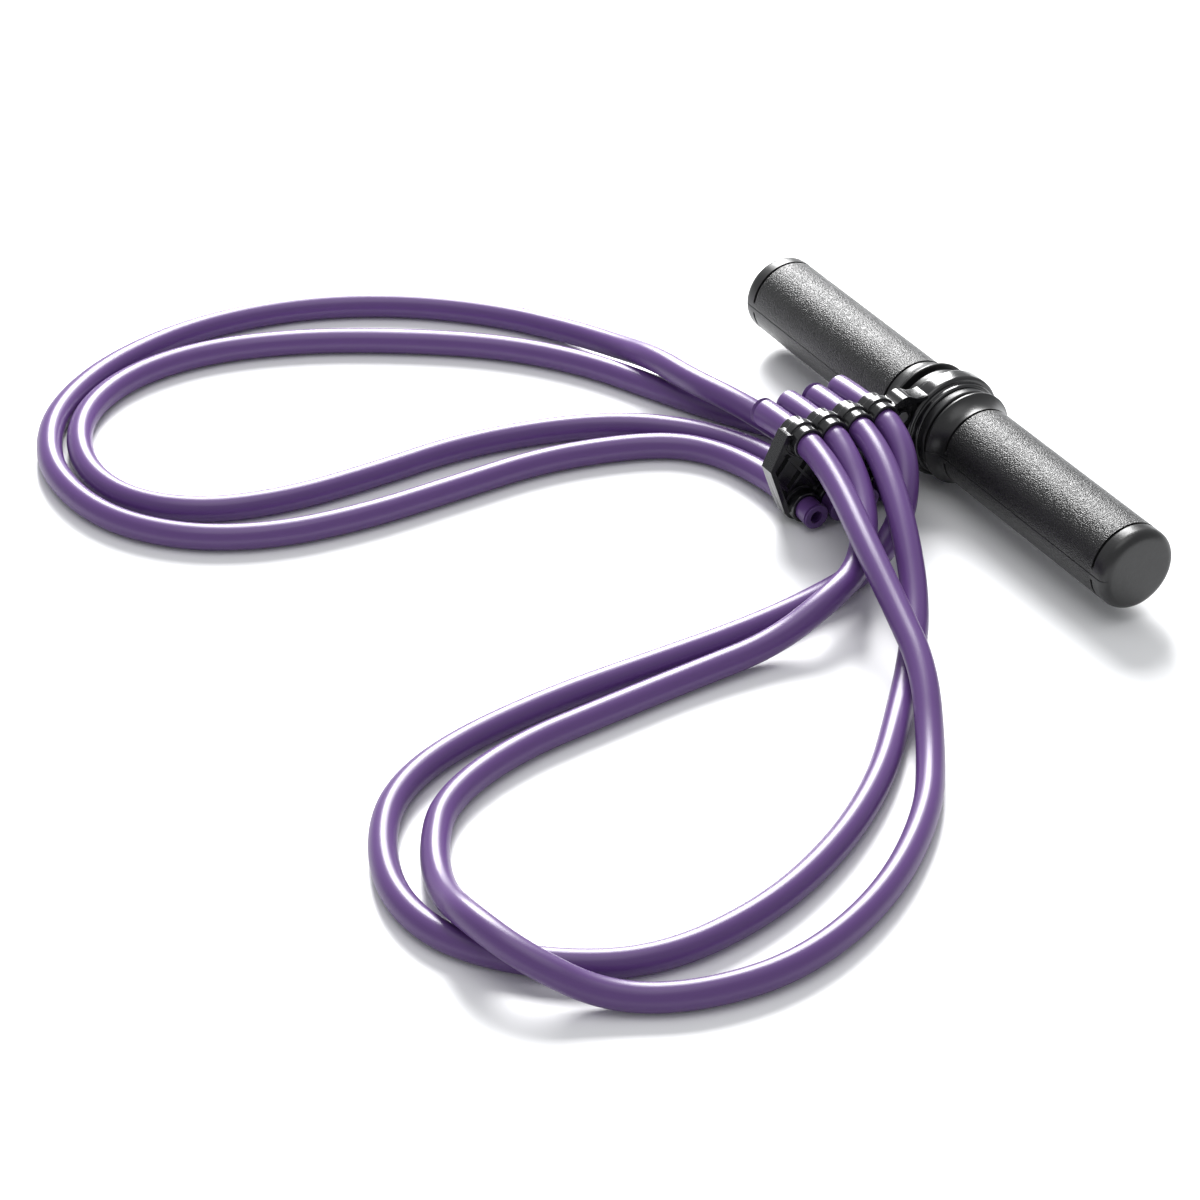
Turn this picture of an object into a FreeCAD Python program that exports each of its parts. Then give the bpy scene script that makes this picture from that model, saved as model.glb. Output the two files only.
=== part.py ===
"""Swivel bar handle with a tube bracket and four elastic tubes, as a parametric FreeCAD document.

The bar handle lies along Y.  A flat bracket stands in the XZ plane at the handle's middle, and the
handle turns in its ring.  The bracket has eight clips, four along its top edge and four along its
bottom edge.  Each elastic tube has both ends in one row of clips and lies on the floor as a loop.

Frame: +Z up, millimetres, origin on the floor under the middle of the box of the handle and bracket.
"""
import FreeCAD
import Part
import Sketcher
import math
import os

from FreeCAD import Placement, Rotation, Vector

FRONT = -1          # the side of the bracket that faces -Y
BACK = 1            # the side of the bracket that faces +Y
UPPER = 1
LOWER = -1

SIZES = [
    ("tube_diameter", 10.0, "elastic tube, outside"),
    ("tube_bore", 5.0, "elastic tube, inside"),
    ("clip_squeeze", 0.1, "how much smaller a clip's bore radius is than the tube"),
    ("clip_first_reach", 33.0, "swivel axis to the nearest clip"),
    ("clip_gap", 1.4, "between two tubes in neighbouring clips"),
    ("clip_offset", 13.8, "swivel axis to a clip row, up and down"),
    ("barrel_wall", 1.2, "wall of the barrel round a tube"),
    ("barrel_reach", 6.0, "mid-plane to a barrel's mouth"),
    ("ribbon_proud", 1.0, "how far the ribbon over the arches stands over the barrels"),
    ("ribbon_reach", 1.6, "mid-plane to the ribbon's face"),
    ("rim_wall", 1.7, "rim thickness, in the bracket's plane"),
    ("rim_reach", 3.2, "mid-plane to the rim's face"),
    ("web_reach", 1.2, "mid-plane to the web's face"),
    ("nose_length", 14.8, "last clip to the tip of the nose"),
    ("nose_shoulder_length", 7.8, "last clip to the nose's shoulders"),
    ("nose_tip_height", 4.5, "mid-height to the tip of the nose, upwards"),
    ("nose_upper_height", 18.6, "mid-height to the upper shoulder"),
    ("nose_lower_height", 15.8, "mid-height to the lower shoulder"),
    ("edge_rise", 3.2, "clip row to the bracket's edge between the arches"),
    ("neck_length", 3.5, "nearest clip to where the neck begins, towards the ring"),
    ("neck_rise", 0.6, "how far the neck's start stands over the bracket's upper edge"),
    ("neck_reach", 3.8, "mid-plane to the neck's face"),
    ("neck_lower_height", 14.0, "mid-height to the neck's lower edge at the ring"),
    ("neck_upper_height", 17.8, "mid-height to the neck's upper edge at the ring"),
    ("neck_crest_gap", 1.4, "ring to the crest on the neck"),
    ("neck_crest_width", 5.6, "length of the crest's arc"),
    ("neck_crest_height", 18.9, "mid-height to the ends of the crest's arc"),
    ("neck_crest_round", 4.8, "radius of the crest"),
    ("neck_hollow_round", 9.0, "radius of the hollows beside the crest"),
    ("rib_wall", 1.1, "zigzag rib on the web, thickness"),
    ("rib_reach", 2.4, "mid-plane to a rib's face"),
    ("rib_half_height", 7.0, "half of the zigzag's height"),
    ("pocket_length", 2.8, "small pocket between two arches, along Y"),
    ("pocket_width", 1.6, "small pocket between two arches, along X"),
    ("pocket_depth", 1.4, "small pocket between two arches, depth"),
    ("ring_proud", 2.0, "how far the ring stands over the collars"),
    ("ring_reach", 3.8, "mid-plane to the ring's face"),
    ("ring_round", 1.3, "edge of the ring"),
    ("step_round", 0.7, "edge of the ring's step"),
    ("step_ledge", 2.0, "ledge from the ring to its raised step"),
    ("step_reach", 6.5, "mid-plane to the step's face"),
    ("bush_wall", 1.45, "sleeve of a swivel bush"),
    ("flange_ledge", 1.0, "ledge from the step to the bush's flange"),
    ("bush_flange_reach", 10.0, "mid-plane to the flange's face"),
    ("bush_chamfer", 0.8, "flange edge"),
    ("swivel_clearance", 0.05, "radial running clearance of the core in the bushes"),
    ("end_play", 0.3, "bush flange to thrust washer"),
    ("core_radius", 12.5, "core tube, outside"),
    ("core_wall", 1.5, "core tube, wall"),
    ("washer_wall", 2.5, "thrust washer, from its bore to its edge"),
    ("washer_thickness", 1.9, "thrust washer, along the axis"),
    ("grip_radius", 16.0, "grip, outside"),
    ("handle_half_length", 121.0, "mid-plane to the handle's end face"),
    ("end_wall", 4.5, "closed end over the core tube"),
    ("end_rounding", 3.6, "edge of the handle's end face"),
    ("collar_rise", 3.0, "how far the collar stands over the grip"),
    ("collar_land", 1.0, "straight part of the collar"),
    ("collar_end", 20.4, "mid-plane to the foot of the collar's flare"),
    ("collar_flare", 9.5, "radius of the collar's hollow flare"),
    ("cap_length", 8.4, "end face to the groove at the grip's outer end"),
    ("groove_width", 1.3, "grooves at the two ends of a grip"),
    ("groove_depth", 1.0, "grooves at the two ends of a grip"),
    ("groove_sweep", 162.0, "degrees of a groove in one half shell"),
    ("shell_screw_radius", 1.5, "screw that joins two half shells"),
    ("shell_screw_head", 2.9, "its head, radius"),
    ("shell_screw_sink", 1.6, "its head, depth under the grip"),
    ("shell_head_height", 1.12, "its head, height"),
    ("shell_screw_cover", 1.3, "grip left over the screw's tip"),
    ("shell_screw_inner", 40.0, "mid-plane to the inner screws"),
    ("shell_screw_inset", 25.0, "end face to the outer screws"),
    ("boss_radius", 3.4, "screw boss of the bracket"),
    ("boss_screw_radius", 1.3, "screw that joins the bracket's halves"),
    ("boss_head_radius", 2.4, "its head, radius"),
    ("boss_head_height", 1.3, "its head, height"),
    ("boss_head_sink", 0.3, "its head's face under the boss's face"),
    ("boss_head_gap", 0.1, "radial gap round the head"),
    ("boss_screw_tip", 2.4, "mid-plane to the screw's tip in the back half"),
    ("neck_screw_gap", 2.0, "ring to a neck screw"),
    ("neck_screw_offset", 10.6, "swivel axis to a neck screw, up and down"),
    ("top_stub", 26.0, "mid-plane to the cut end of a top tube"),
    ("top_stub_drop", 1.6, "how far a top tube's cut end hangs"),
    ("top_stub_lean", 0.5, "how far a top tube's cut end leans towards the nose"),
    ("bottom_stub", 13.0, "mid-plane to the cut end of a bottom tube"),
    ("bottom_stub_drop", 0.5, "how far a bottom tube's cut end hangs"),
    ("top_bend_stub", 9.0, "mid-plane to a top tube's bend on its stub's side"),
    ("top_bend_loop", 10.5, "mid-plane to a top tube's bend on its loop's side"),
    ("bottom_bend_stub", 3.0, "mid-plane to a bottom tube's bend on its stub's side"),
    ("bottom_bend_loop", 10.0, "mid-plane to a bottom tube's bend on its loop's side"),
]

CLIPS = 4           # clips in a row, counted from the nose

# Routes of the tubes between their clips: points on the floor and over the crossings, chosen by hand.
NEAR_OUTER = [
    (-41, -34, 32), (-50, -65, 27.5), (-58, -97, 21), (-66, -126, 15.8), (-83, -156, 5.6),
    (-104, -185, 5), (-140, -214, 5), (-181, -230, 5), (-217, -228, 5), (-244, -214, 5),
    (-263, -195, 15.2), (-270, -170, 17.8), (-266, -144, 8.4), (-256, -119, 5), (-240, -97, 5),
    (-206, -83, 5), (-164, -79, 5), (-128, -76, 5), (-96, -76, 7), (-70, -73, 16), (-49, -61, 16.6),
    (-32, -38, 24),
]
NEAR_INNER = [
    (-19, -32, 31.5), (-28, -57, 24), (-41, -85, 11.5), (-57, -106, 5), (-80, -132, 5), (-108, -162, 5),
    (-142, -186, 5), (-180, -202, 5), (-222, -206, 5), (-254, -189, 5), (-275, -163, 5),
    (-279, -136, 5), (-270, -108, 5), (-253, -85, 5), (-225, -71, 5), (-181, -64, 5), (-138, -63, 5),
    (-101, -62, 5), (-68, -58, 5), (-38, -50, 5), (-17.5, -41, 14), (-6.5, -27, 27.5),
]
FAR_OUTER = [
    (-37.7, 28, 6), (-42.2, 46, 5), (-53, 60.5, 5), (-73, 70, 5), (-105, 77, 5), (-142, 76, 5),
    (-181, 75, 5), (-217, 80, 5), (-247, 96, 5), (-267, 124, 5), (-271, 161, 5), (-260, 192, 5),
    (-240, 214, 5), (-211, 230, 5), (-172, 238, 5), (-130, 232, 5), (-94, 214, 5), (-64, 187, 5),
    (-45, 158, 5.5), (-37, 131, 9), (-36, 106, 16), (-34, 82, 17.4), (-27, 59, 17), (-18, 37, 11.8),
]
FAR_INNER = [
    (-26.6, 28, 5.5), (-31.5, 48, 5), (-43, 67, 5), (-64, 85, 5), (-92, 96, 5), (-127, 102, 5),
    (-164, 100, 5), (-201, 100, 5), (-233, 109, 5), (-254, 130, 5), (-259, 160, 5), (-247, 193, 5),
    (-220, 214, 5), (-184, 219, 5), (-145, 208, 5), (-108, 187, 5), (-75, 162, 5), (-52, 133, 5),
    (-38, 102, 5), (-26, 76, 5), (-12, 52, 5), (-4, 29, 6),
]
TUBES = [
    ("tube_near_outer", "top", (0, 1), NEAR_OUTER),
    ("tube_near_inner", "top", (2, 3), NEAR_INNER),
    ("tube_far_outer", "bottom", (0, 2), FAR_OUTER),
    ("tube_far_inner", "bottom", (1, 3), FAR_INNER),
]
ARC_SHARE = 0.45    # share of the shorter run that an arc takes


def make_sheet(doc):
    """Put every driving size in the document's spreadsheet and add the sizes worked out from them."""
    sheet = doc.addObject("Spreadsheet::Sheet", "Sizes")
    for row, (alias, value, note) in enumerate(SIZES, start=1):
        sheet.set(f"A{row}", note)
        sheet.set(f"B{row}", str(value))
        sheet.setAlias(f"B{row}", alias)
    derived = [
        ("tube_radius", "=tube_diameter / 2"),
        ("clip_bore_radius", "=tube_radius - clip_squeeze"),
        ("barrel_radius", "=tube_radius + barrel_wall"),
        ("arch_radius", "=tube_radius + barrel_wall + ribbon_proud"),
        ("clip_pitch", "=tube_diameter + clip_gap"),
        ("body_half_height", "=clip_offset + edge_rise"),
        ("last_clip", f"=clip_first_reach + {CLIPS - 1} * clip_pitch"),
        ("nose_reach", "=last_clip + nose_length"),
        ("nose_shoulder_reach", "=last_clip + nose_shoulder_length"),
        ("neck_start", "=clip_first_reach - neck_length"),
        ("collar_radius", "=grip_radius + collar_rise"),
        ("ring_radius", "=collar_radius + ring_proud"),
        ("step_radius", "=ring_radius - step_ledge"),
        ("bush_flange_radius", "=step_radius - flange_ledge"),
        ("neck_crest_place", "=ring_radius + neck_crest_gap"),
        ("neck_screw_place", "=ring_radius + neck_screw_gap"),
        ("washer_radius", "=core_radius + washer_wall"),
        ("core_half_length", "=handle_half_length - end_wall"),
        ("end_groove_place", "=handle_half_length - cap_length"),
        ("shell_screw_outer", "=handle_half_length - shell_screw_inset"),
        ("axis_height", "=max(clip_offset + arch_radius; ring_radius)"),
        ("axis_place", "=(nose_reach - max(ring_radius; collar_radius)) / 2"),
        ("bush_bore_radius", "=core_radius + swivel_clearance"),
        ("bush_radius", "=core_radius + swivel_clearance + bush_wall"),
        ("washer_start", "=bush_flange_reach + end_play"),
        ("collar_start", "=washer_start + washer_thickness"),
        ("rib_run", "=hypot(clip_pitch; 2 * rib_half_height) + 2 * rib_wall"),
        ("rib_lean", "=atan(2 * rib_half_height / clip_pitch)"),
    ]
    for row, (alias, formula) in enumerate(derived, start=len(SIZES) + 1):
        sheet.set(f"A{row}", alias.replace("_", " "))
        sheet.set(f"B{row}", formula)
        sheet.setAlias(f"B{row}", alias)
    doc.recompute()
    return sheet


def bind(obj, **formulas):
    """Bind properties of obj to expressions of the sheet; names with __ stand for dotted paths."""
    for name, formula in formulas.items():
        obj.setExpression(name.replace("__", "."), formula)


def place(obj, x, y, z, rotation=None):
    """Place obj by expressions in the part's frame, with a fixed rotation."""
    if rotation is not None:
        obj.Placement = Placement(Vector(), rotation)
    bind(obj, Placement__Base__x=x, Placement__Base__y=y, Placement__Base__z=z)


def outward(side):
    """Rotation that lays a primitive's Z along Y, away from the bracket's mid-plane."""
    return Rotation(Vector(1, 0, 0), -90.0 * side)


def disc(doc, name, side, radius, start, end, x="0", z="0"):
    """Cylinder along Y from start to end on one side; x and z are measured from the swivel axis."""
    body = doc.addObject("Part::Cylinder", name)
    bind(body, Radius=radius, Height=f"({end}) - ({start})")
    place(body, f"Sizes.axis_place + ({x})", f"{side} * ({start})", f"Sizes.axis_height + ({z})",
          outward(side))
    return body


def fuse(doc, name, shapes):
    """One solid out of several."""
    joined = doc.addObject("Part::MultiFuse", name)
    joined.Shapes = shapes
    joined.Refine = True
    return joined


def cut(doc, name, base, tool):
    """base with tool taken away."""
    result = doc.addObject("Part::Cut", name)
    result.Base = base
    result.Tool = tool
    result.Refine = True
    return result


def clip_x(index):
    """Place of a clip from the swivel axis, as an expression; index 0 is at the nose."""
    return f"-(Sizes.clip_first_reach + {CLIPS - 1 - index} * Sizes.clip_pitch)"


def value_of(sheet, formula):
    """Number that an expression of the sheet gives now."""
    return float(sheet.evalExpression(formula))


def closed_profile(sheet, sketch, corners):
    """Draw a closed outline in a sketch.

    Each corner is (x, y) or (x, y, radius): expressions for the corner's place and, with a radius,
    for the arc that runs from it to the next corner.  The arc bulges to the left of its chord for a
    positive radius and to the right for a negative one; arcs are drawn counterclockwise.
    """
    points = [Vector(value_of(sheet, c[0]), value_of(sheet, c[1]), 0) for c in corners]
    count = len(corners)
    ends = []
    for index, corner in enumerate(corners):
        start = points[index]
        end = points[(index + 1) % count]
        if len(corner) == 2:
            sketch.addGeometry(Part.LineSegment(start, end), False)
            ends.append((1, 2))
            continue
        radius = value_of(sheet, corner[2])
        chord = end - start
        side = Vector(-chord.y, chord.x, 0).normalize()
        reach = abs(radius) - math.sqrt(radius ** 2 - (chord.Length / 2) ** 2)
        middle = (start + end) * 0.5 + side * math.copysign(reach, radius)
        if radius > 0:
            sketch.addGeometry(Part.Arc(end, middle, start), False)
            ends.append((2, 1))
        else:
            sketch.addGeometry(Part.Arc(start, middle, end), False)
            ends.append((1, 2))
    for index, corner in enumerate(corners):
        first = ends[index][0]
        before = (index - 1) % count
        sketch.addConstraint(Sketcher.Constraint("Coincident", before, ends[before][1], index, first))
        for axis, formula, size in (("DistanceX", corner[0], points[index].x),
                                    ("DistanceY", corner[1], points[index].y)):
            number = sketch.addConstraint(Sketcher.Constraint(axis, index, first, size))
            sketch.setExpression(f"Constraints[{number}]", formula)
        if len(corner) == 3:
            radius = abs(value_of(sheet, corner[2]))
            number = sketch.addConstraint(Sketcher.Constraint("Radius", index, radius))
            sketch.setExpression(f"Constraints[{number}]", f"abs({corner[2]})")


def origin_plane(body, role):
    """One of a body's own origin planes."""
    return next(plane for plane in body.Origin.OriginFeatures if plane.Role == role)


def new_sketch(body, name, role):
    """Sketch on one of a body's own origin planes."""
    sketch = body.newObject("Sketcher::SketchObject", name)
    sketch.AttachmentSupport = (origin_plane(body, role), "")
    sketch.MapMode = "FlatFace"
    return sketch


def turned(sheet, body, name, feature, corners, angle="360"):
    """Revolve a profile of a body's XZ plane round its Z; feature is Revolution or Groove."""
    sketch = new_sketch(body, f"{name}_profile", "XZ_Plane")
    closed_profile(sheet, sketch, corners)
    turn = body.newObject(f"PartDesign::{feature}", name)
    turn.Profile = sketch
    turn.ReferenceAxis = (sketch, ["V_Axis"])
    turn.Midplane = True
    bind(turn, Angle=angle)
    body.Tip = turn
    return turn


def handle_body(doc, label, side, turn=UPPER):
    """Empty body whose Z runs along the handle, away from the mid-plane, and whose X points up or down."""
    body = doc.addObject("PartDesign::Body", label)
    body.Label = label
    along = Vector(0, side, 0)
    up = Vector(0, 0, turn)
    place(body, "Sizes.axis_place", "0", "Sizes.axis_height", Rotation(up, along.cross(up), along, "ZXY"))
    return body


def grip_shell(doc, sheet, label, side, turn):
    """Half shell of one grip: collar, grip and closed end, with its screw holes."""
    body = handle_body(doc, label, side, turn)
    turned(sheet, body, f"{label}_shell", "Revolution", [
        ("Sizes.core_radius", "Sizes.collar_start"),
        ("Sizes.collar_radius", "Sizes.collar_start"),
        ("Sizes.collar_radius", "Sizes.collar_start + Sizes.collar_land", "Sizes.collar_flare"),
        ("Sizes.grip_radius", "Sizes.collar_end"),
        ("Sizes.grip_radius", "Sizes.handle_half_length - Sizes.end_rounding", "-Sizes.end_rounding"),
        ("Sizes.grip_radius - Sizes.end_rounding", "Sizes.handle_half_length"),
        ("0", "Sizes.handle_half_length"),
        ("0", "Sizes.core_half_length"),
        ("Sizes.core_radius", "Sizes.core_half_length"),
    ], "180")
    for name, start in (("collar_groove", "Sizes.collar_end"), ("end_groove", "Sizes.end_groove_place")):
        floor = "Sizes.grip_radius - Sizes.groove_depth"
        over = "Sizes.grip_radius + Sizes.groove_depth"
        end = f"{start} + Sizes.groove_width"
        turned(sheet, body, f"{label}_{name}", "Groove",
               [(floor, start), (over, start), (over, end), (floor, end)], "Sizes.groove_sweep")
    drill(sheet, body, f"{label}_hole", "Sizes.shell_screw_radius",
          "0", "Sizes.grip_radius - Sizes.shell_screw_cover")
    if turn == LOWER:
        drill(sheet, body, f"{label}_head", "Sizes.shell_screw_head",
              "Sizes.grip_radius - Sizes.shell_screw_sink", "Sizes.grip_radius + 1")
        drill(sheet, body, f"{label}_through", "Sizes.shell_screw_radius",
              "0", "Sizes.grip_radius + 1")
    return body


def drill(sheet, body, name, radius, start, end):
    """Two round holes along the body's X, from start to end, at the places of the shell screws."""
    sketch = new_sketch(body, f"{name}_sketch", "YZ_Plane")
    sketch.setExpression("AttachmentOffset.Base.z", start)
    for index, screw in enumerate(("Sizes.shell_screw_inner", "Sizes.shell_screw_outer")):
        centre = Vector(0, value_of(sheet, screw), 0)
        size = value_of(sheet, radius)
        sketch.addGeometry(Part.Circle(centre, Vector(0, 0, 1), size), False)
        sketch.addConstraint(Sketcher.Constraint("PointOnObject", index, 3, -2))
        place_id = sketch.addConstraint(Sketcher.Constraint("DistanceY", index, 3, centre.y))
        sketch.setExpression(f"Constraints[{place_id}]", screw)
        size_id = sketch.addConstraint(Sketcher.Constraint("Radius", index, size))
        sketch.setExpression(f"Constraints[{size_id}]", radius)
    pocket = body.newObject("PartDesign::Pocket", name)
    pocket.Profile = sketch
    pocket.Reversed = True
    bind(pocket, Length=f"({end}) - ({start})")
    body.Tip = pocket


def swivel_bush(doc, sheet, label, side):
    """Flanged bush: its sleeve sits in the ring and its flange covers the ring's step."""
    body = handle_body(doc, label, side)
    turned(sheet, body, f"{label}_turned", "Revolution", [
        ("Sizes.bush_bore_radius", "0"),
        ("Sizes.bush_radius", "0"),
        ("Sizes.bush_radius", "Sizes.step_reach"),
        ("Sizes.bush_flange_radius", "Sizes.step_reach"),
        ("Sizes.bush_flange_radius", "Sizes.bush_flange_reach - Sizes.bush_chamfer"),
        ("Sizes.bush_flange_radius - Sizes.bush_chamfer", "Sizes.bush_flange_reach"),
        ("Sizes.bush_bore_radius", "Sizes.bush_flange_reach"),
    ])
    return body


def thrust_washer(doc, sheet, label, side):
    """Plain ring on the core tube between the bush's flange and the collar."""
    body = handle_body(doc, label, side)
    turned(sheet, body, f"{label}_turned", "Revolution", [
        ("Sizes.core_radius", "Sizes.washer_start"),
        ("Sizes.washer_radius", "Sizes.washer_start"),
        ("Sizes.washer_radius", "Sizes.collar_start"),
        ("Sizes.core_radius", "Sizes.collar_start"),
    ])
    return body


def screw_places():
    """Places of the four shell screws along Y, as expressions."""
    return [f"{side} * {place_name}" for side in (FRONT, BACK)
            for place_name in ("Sizes.shell_screw_inner", "Sizes.shell_screw_outer")]


def upright_pin(doc, name, radius, bottom, top, y):
    """Vertical cylinder on the handle's axis; bottom and top are measured from the axis."""
    pin = doc.addObject("Part::Cylinder", name)
    bind(pin, Radius=radius, Height=f"({top}) - ({bottom})")
    place(pin, "Sizes.axis_place", y, f"Sizes.axis_height + ({bottom})")
    return pin


def core_tube(doc):
    """Tube through the whole handle, cross-drilled for the shell screws."""
    outer = disc(doc, "core_outer", BACK, "Sizes.core_radius",
                 "-Sizes.core_half_length", "Sizes.core_half_length")
    bore = disc(doc, "core_bore", BACK, "Sizes.core_radius - Sizes.core_wall",
                "-Sizes.core_half_length - 1", "Sizes.core_half_length + 1")
    holes = [upright_pin(doc, f"core_hole_{i}", "Sizes.shell_screw_radius", "-Sizes.core_radius - 1",
                         "Sizes.core_radius + 1", y) for i, y in enumerate(screw_places())]
    return cut(doc, "core_tube", outer, fuse(doc, "core_openings", [bore] + holes))


def shell_screws(doc):
    """Four countersunk screws from the underside, through the core tube into the upper shells."""
    screws = []
    for index, y in enumerate(screw_places()):
        head_top = "-(Sizes.grip_radius - Sizes.shell_screw_sink)"
        tip = "Sizes.grip_radius - Sizes.shell_screw_cover"
        head = upright_pin(doc, f"shell_head_{index}", "Sizes.shell_screw_head",
                           f"{head_top} - Sizes.shell_head_height", head_top, y)
        shank = upright_pin(doc, f"shell_shank_{index}", "Sizes.shell_screw_radius", head_top, tip, y)
        screws.append(fuse(doc, f"shell_screw_{index}", [head, shank]))
    return group(doc, "shell_screws", screws)


def group(doc, name, shapes):
    """Separate solids kept in one node."""
    compound = doc.addObject("Part::Compound", name)
    compound.Links = shapes
    return compound


def boss_places():
    """Places of the bracket's screws from the swivel axis: two on the neck and one amidships."""
    middle = f"-(Sizes.clip_first_reach + {(CLIPS - 1) / 2} * Sizes.clip_pitch)"
    return [
        ("-Sizes.neck_screw_place", "Sizes.neck_screw_offset"),
        ("-Sizes.neck_screw_place", "-Sizes.neck_screw_offset"),
        (middle, "0"),
    ]


def upright_prism(doc, sheet, name, corners, start, end):
    """Prism along Y from start to end on the back side; its corners are measured from the swivel axis."""
    sketch = doc.addObject("Sketcher::SketchObject", f"{name}_outline")
    sketch.Placement = Placement(Vector(), Rotation(Vector(1, 0, 0), 90))
    bind(sketch, Placement__Base__x="Sizes.axis_place", Placement__Base__y=start,
         Placement__Base__z="Sizes.axis_height")
    closed_profile(sheet, sketch, corners)
    prism = doc.addObject("Part::Extrusion", name)
    prism.Base = sketch
    prism.DirMode = "Custom"
    prism.Dir = Vector(0, BACK, 0)
    prism.Solid = True
    bind(prism, LengthFwd=f"({end}) - ({start})")
    return prism


def plate_corners(inset):
    """Outline of the plate from the nose to the ring, its edges moved in by inset."""
    slope = f"{inset} * 1.1"
    return [
        (f"-Sizes.nose_reach + {slope}", "Sizes.nose_tip_height"),
        (f"-Sizes.nose_shoulder_reach + {inset}", f"-Sizes.nose_lower_height + {inset} * 0.7"),
        ("-Sizes.last_clip", f"-Sizes.body_half_height + {inset}"),
        (f"-Sizes.neck_start + {inset}", f"-Sizes.body_half_height + {inset}"),
        ("-Sizes.core_radius", f"-Sizes.neck_lower_height + {inset}"),
        ("-Sizes.core_radius", f"Sizes.neck_upper_height - {inset}"),
        ("-Sizes.last_clip", f"Sizes.body_half_height - {inset}"),
        (f"-Sizes.nose_shoulder_reach + {inset}", f"Sizes.nose_upper_height - {slope}"),
    ]


def neck_corners():
    """Outline of the neck: a crest on its upper edge with a hollow on each side."""
    crest_near = "-Sizes.neck_crest_place + Sizes.neck_crest_width / 2"
    crest_far = "-Sizes.neck_crest_place - Sizes.neck_crest_width / 2"
    return [
        ("-Sizes.neck_start", "-Sizes.body_half_height + Sizes.neck_rise"),
        ("-Sizes.core_radius", "-Sizes.neck_lower_height"),
        ("-Sizes.core_radius", "Sizes.neck_upper_height", "Sizes.neck_hollow_round"),
        (crest_near, "Sizes.neck_crest_height", "-Sizes.neck_crest_round"),
        (crest_far, "Sizes.neck_crest_height", "Sizes.neck_hollow_round"),
        ("-Sizes.neck_start", "Sizes.body_half_height + Sizes.neck_rise"),
    ]


def neck_recess_corners():
    """Sunk face of the neck."""
    return [
        ("-Sizes.neck_start - Sizes.rim_wall", "-Sizes.body_half_height + Sizes.rim_wall"),
        ("-Sizes.step_radius + Sizes.rim_wall", "-Sizes.neck_lower_height + Sizes.rim_wall"),
        ("-Sizes.step_radius + Sizes.rim_wall", "Sizes.neck_upper_height - Sizes.rim_wall"),
        ("-Sizes.neck_start - Sizes.rim_wall", "Sizes.body_half_height - Sizes.rim_wall"),
    ]


def zigzag_ribs(doc, name):
    """Crossed ribs on the web between the clip rows and in the nose: one X for each clip pitch."""
    ribs = []
    for index in range(-1, CLIPS):
        for way in (1, -1):
            rib = doc.addObject("Part::Box", f"{name}_{index + 1}_{'up' if way > 0 else 'down'}")
            rib.Placement = Placement(Vector(), Rotation(Vector(0, -way, 0), 10.0))
            bind(rib, Length="Sizes.rib_run", Width="Sizes.rib_reach", Height="Sizes.rib_wall",
                 Placement__Rotation__Angle="Sizes.rib_lean")
            place(rib,
                  f"Sizes.axis_place + ({clip_x(index)}) - Sizes.rib_run / 2 * cos(Sizes.rib_lean)"
                  f" + {way} * Sizes.rib_wall / 2 * sin(Sizes.rib_lean)",
                  "0",
                  f"Sizes.axis_height - {way} * Sizes.rib_run / 2 * sin(Sizes.rib_lean)"
                  " - Sizes.rib_wall / 2 * cos(Sizes.rib_lean)")
            ribs.append(rib)
    return fuse(doc, name, ribs)


def valley_pockets(doc, name):
    """Small square pockets in the edge between two arches, beside the ribbon, on both rows."""
    pockets = []
    for row, sign in (("top", 1), ("bottom", -1)):
        for index in range(CLIPS - 1):
            pocket = doc.addObject("Part::Box", f"{name}_{row}_{index}")
            bind(pocket, Length="Sizes.pocket_width", Width="Sizes.pocket_length",
                 Height="Sizes.pocket_depth + 1")
            reach = "Sizes.body_half_height - Sizes.pocket_depth"
            low = reach if sign > 0 else f"-({reach}) - Sizes.pocket_depth - 1"
            middle = f"({clip_x(index)}) + Sizes.clip_pitch / 2"
            place(pocket, f"Sizes.axis_place + {middle} - Sizes.pocket_width / 2",
                  "Sizes.ribbon_reach", f"Sizes.axis_height + ({low})")
            pockets.append(pocket)
    return pockets


def ring_body(doc, sheet, label):
    """Ring round the handle with its raised step, both with rounded edges."""
    body = handle_body(doc, label, BACK)
    turned(sheet, body, f"{label}_turned", "Revolution", [
        ("Sizes.bush_radius", "0"),
        ("Sizes.ring_radius", "0"),
        ("Sizes.ring_radius", "Sizes.ring_reach - Sizes.ring_round", "-Sizes.ring_round"),
        ("Sizes.ring_radius - Sizes.ring_round", "Sizes.ring_reach"),
        ("Sizes.step_radius", "Sizes.ring_reach"),
        ("Sizes.step_radius", "Sizes.step_reach - Sizes.step_round", "-Sizes.step_round"),
        ("Sizes.step_radius - Sizes.step_round", "Sizes.step_reach"),
        ("Sizes.bush_radius", "Sizes.step_reach"),
    ])
    return body


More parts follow.
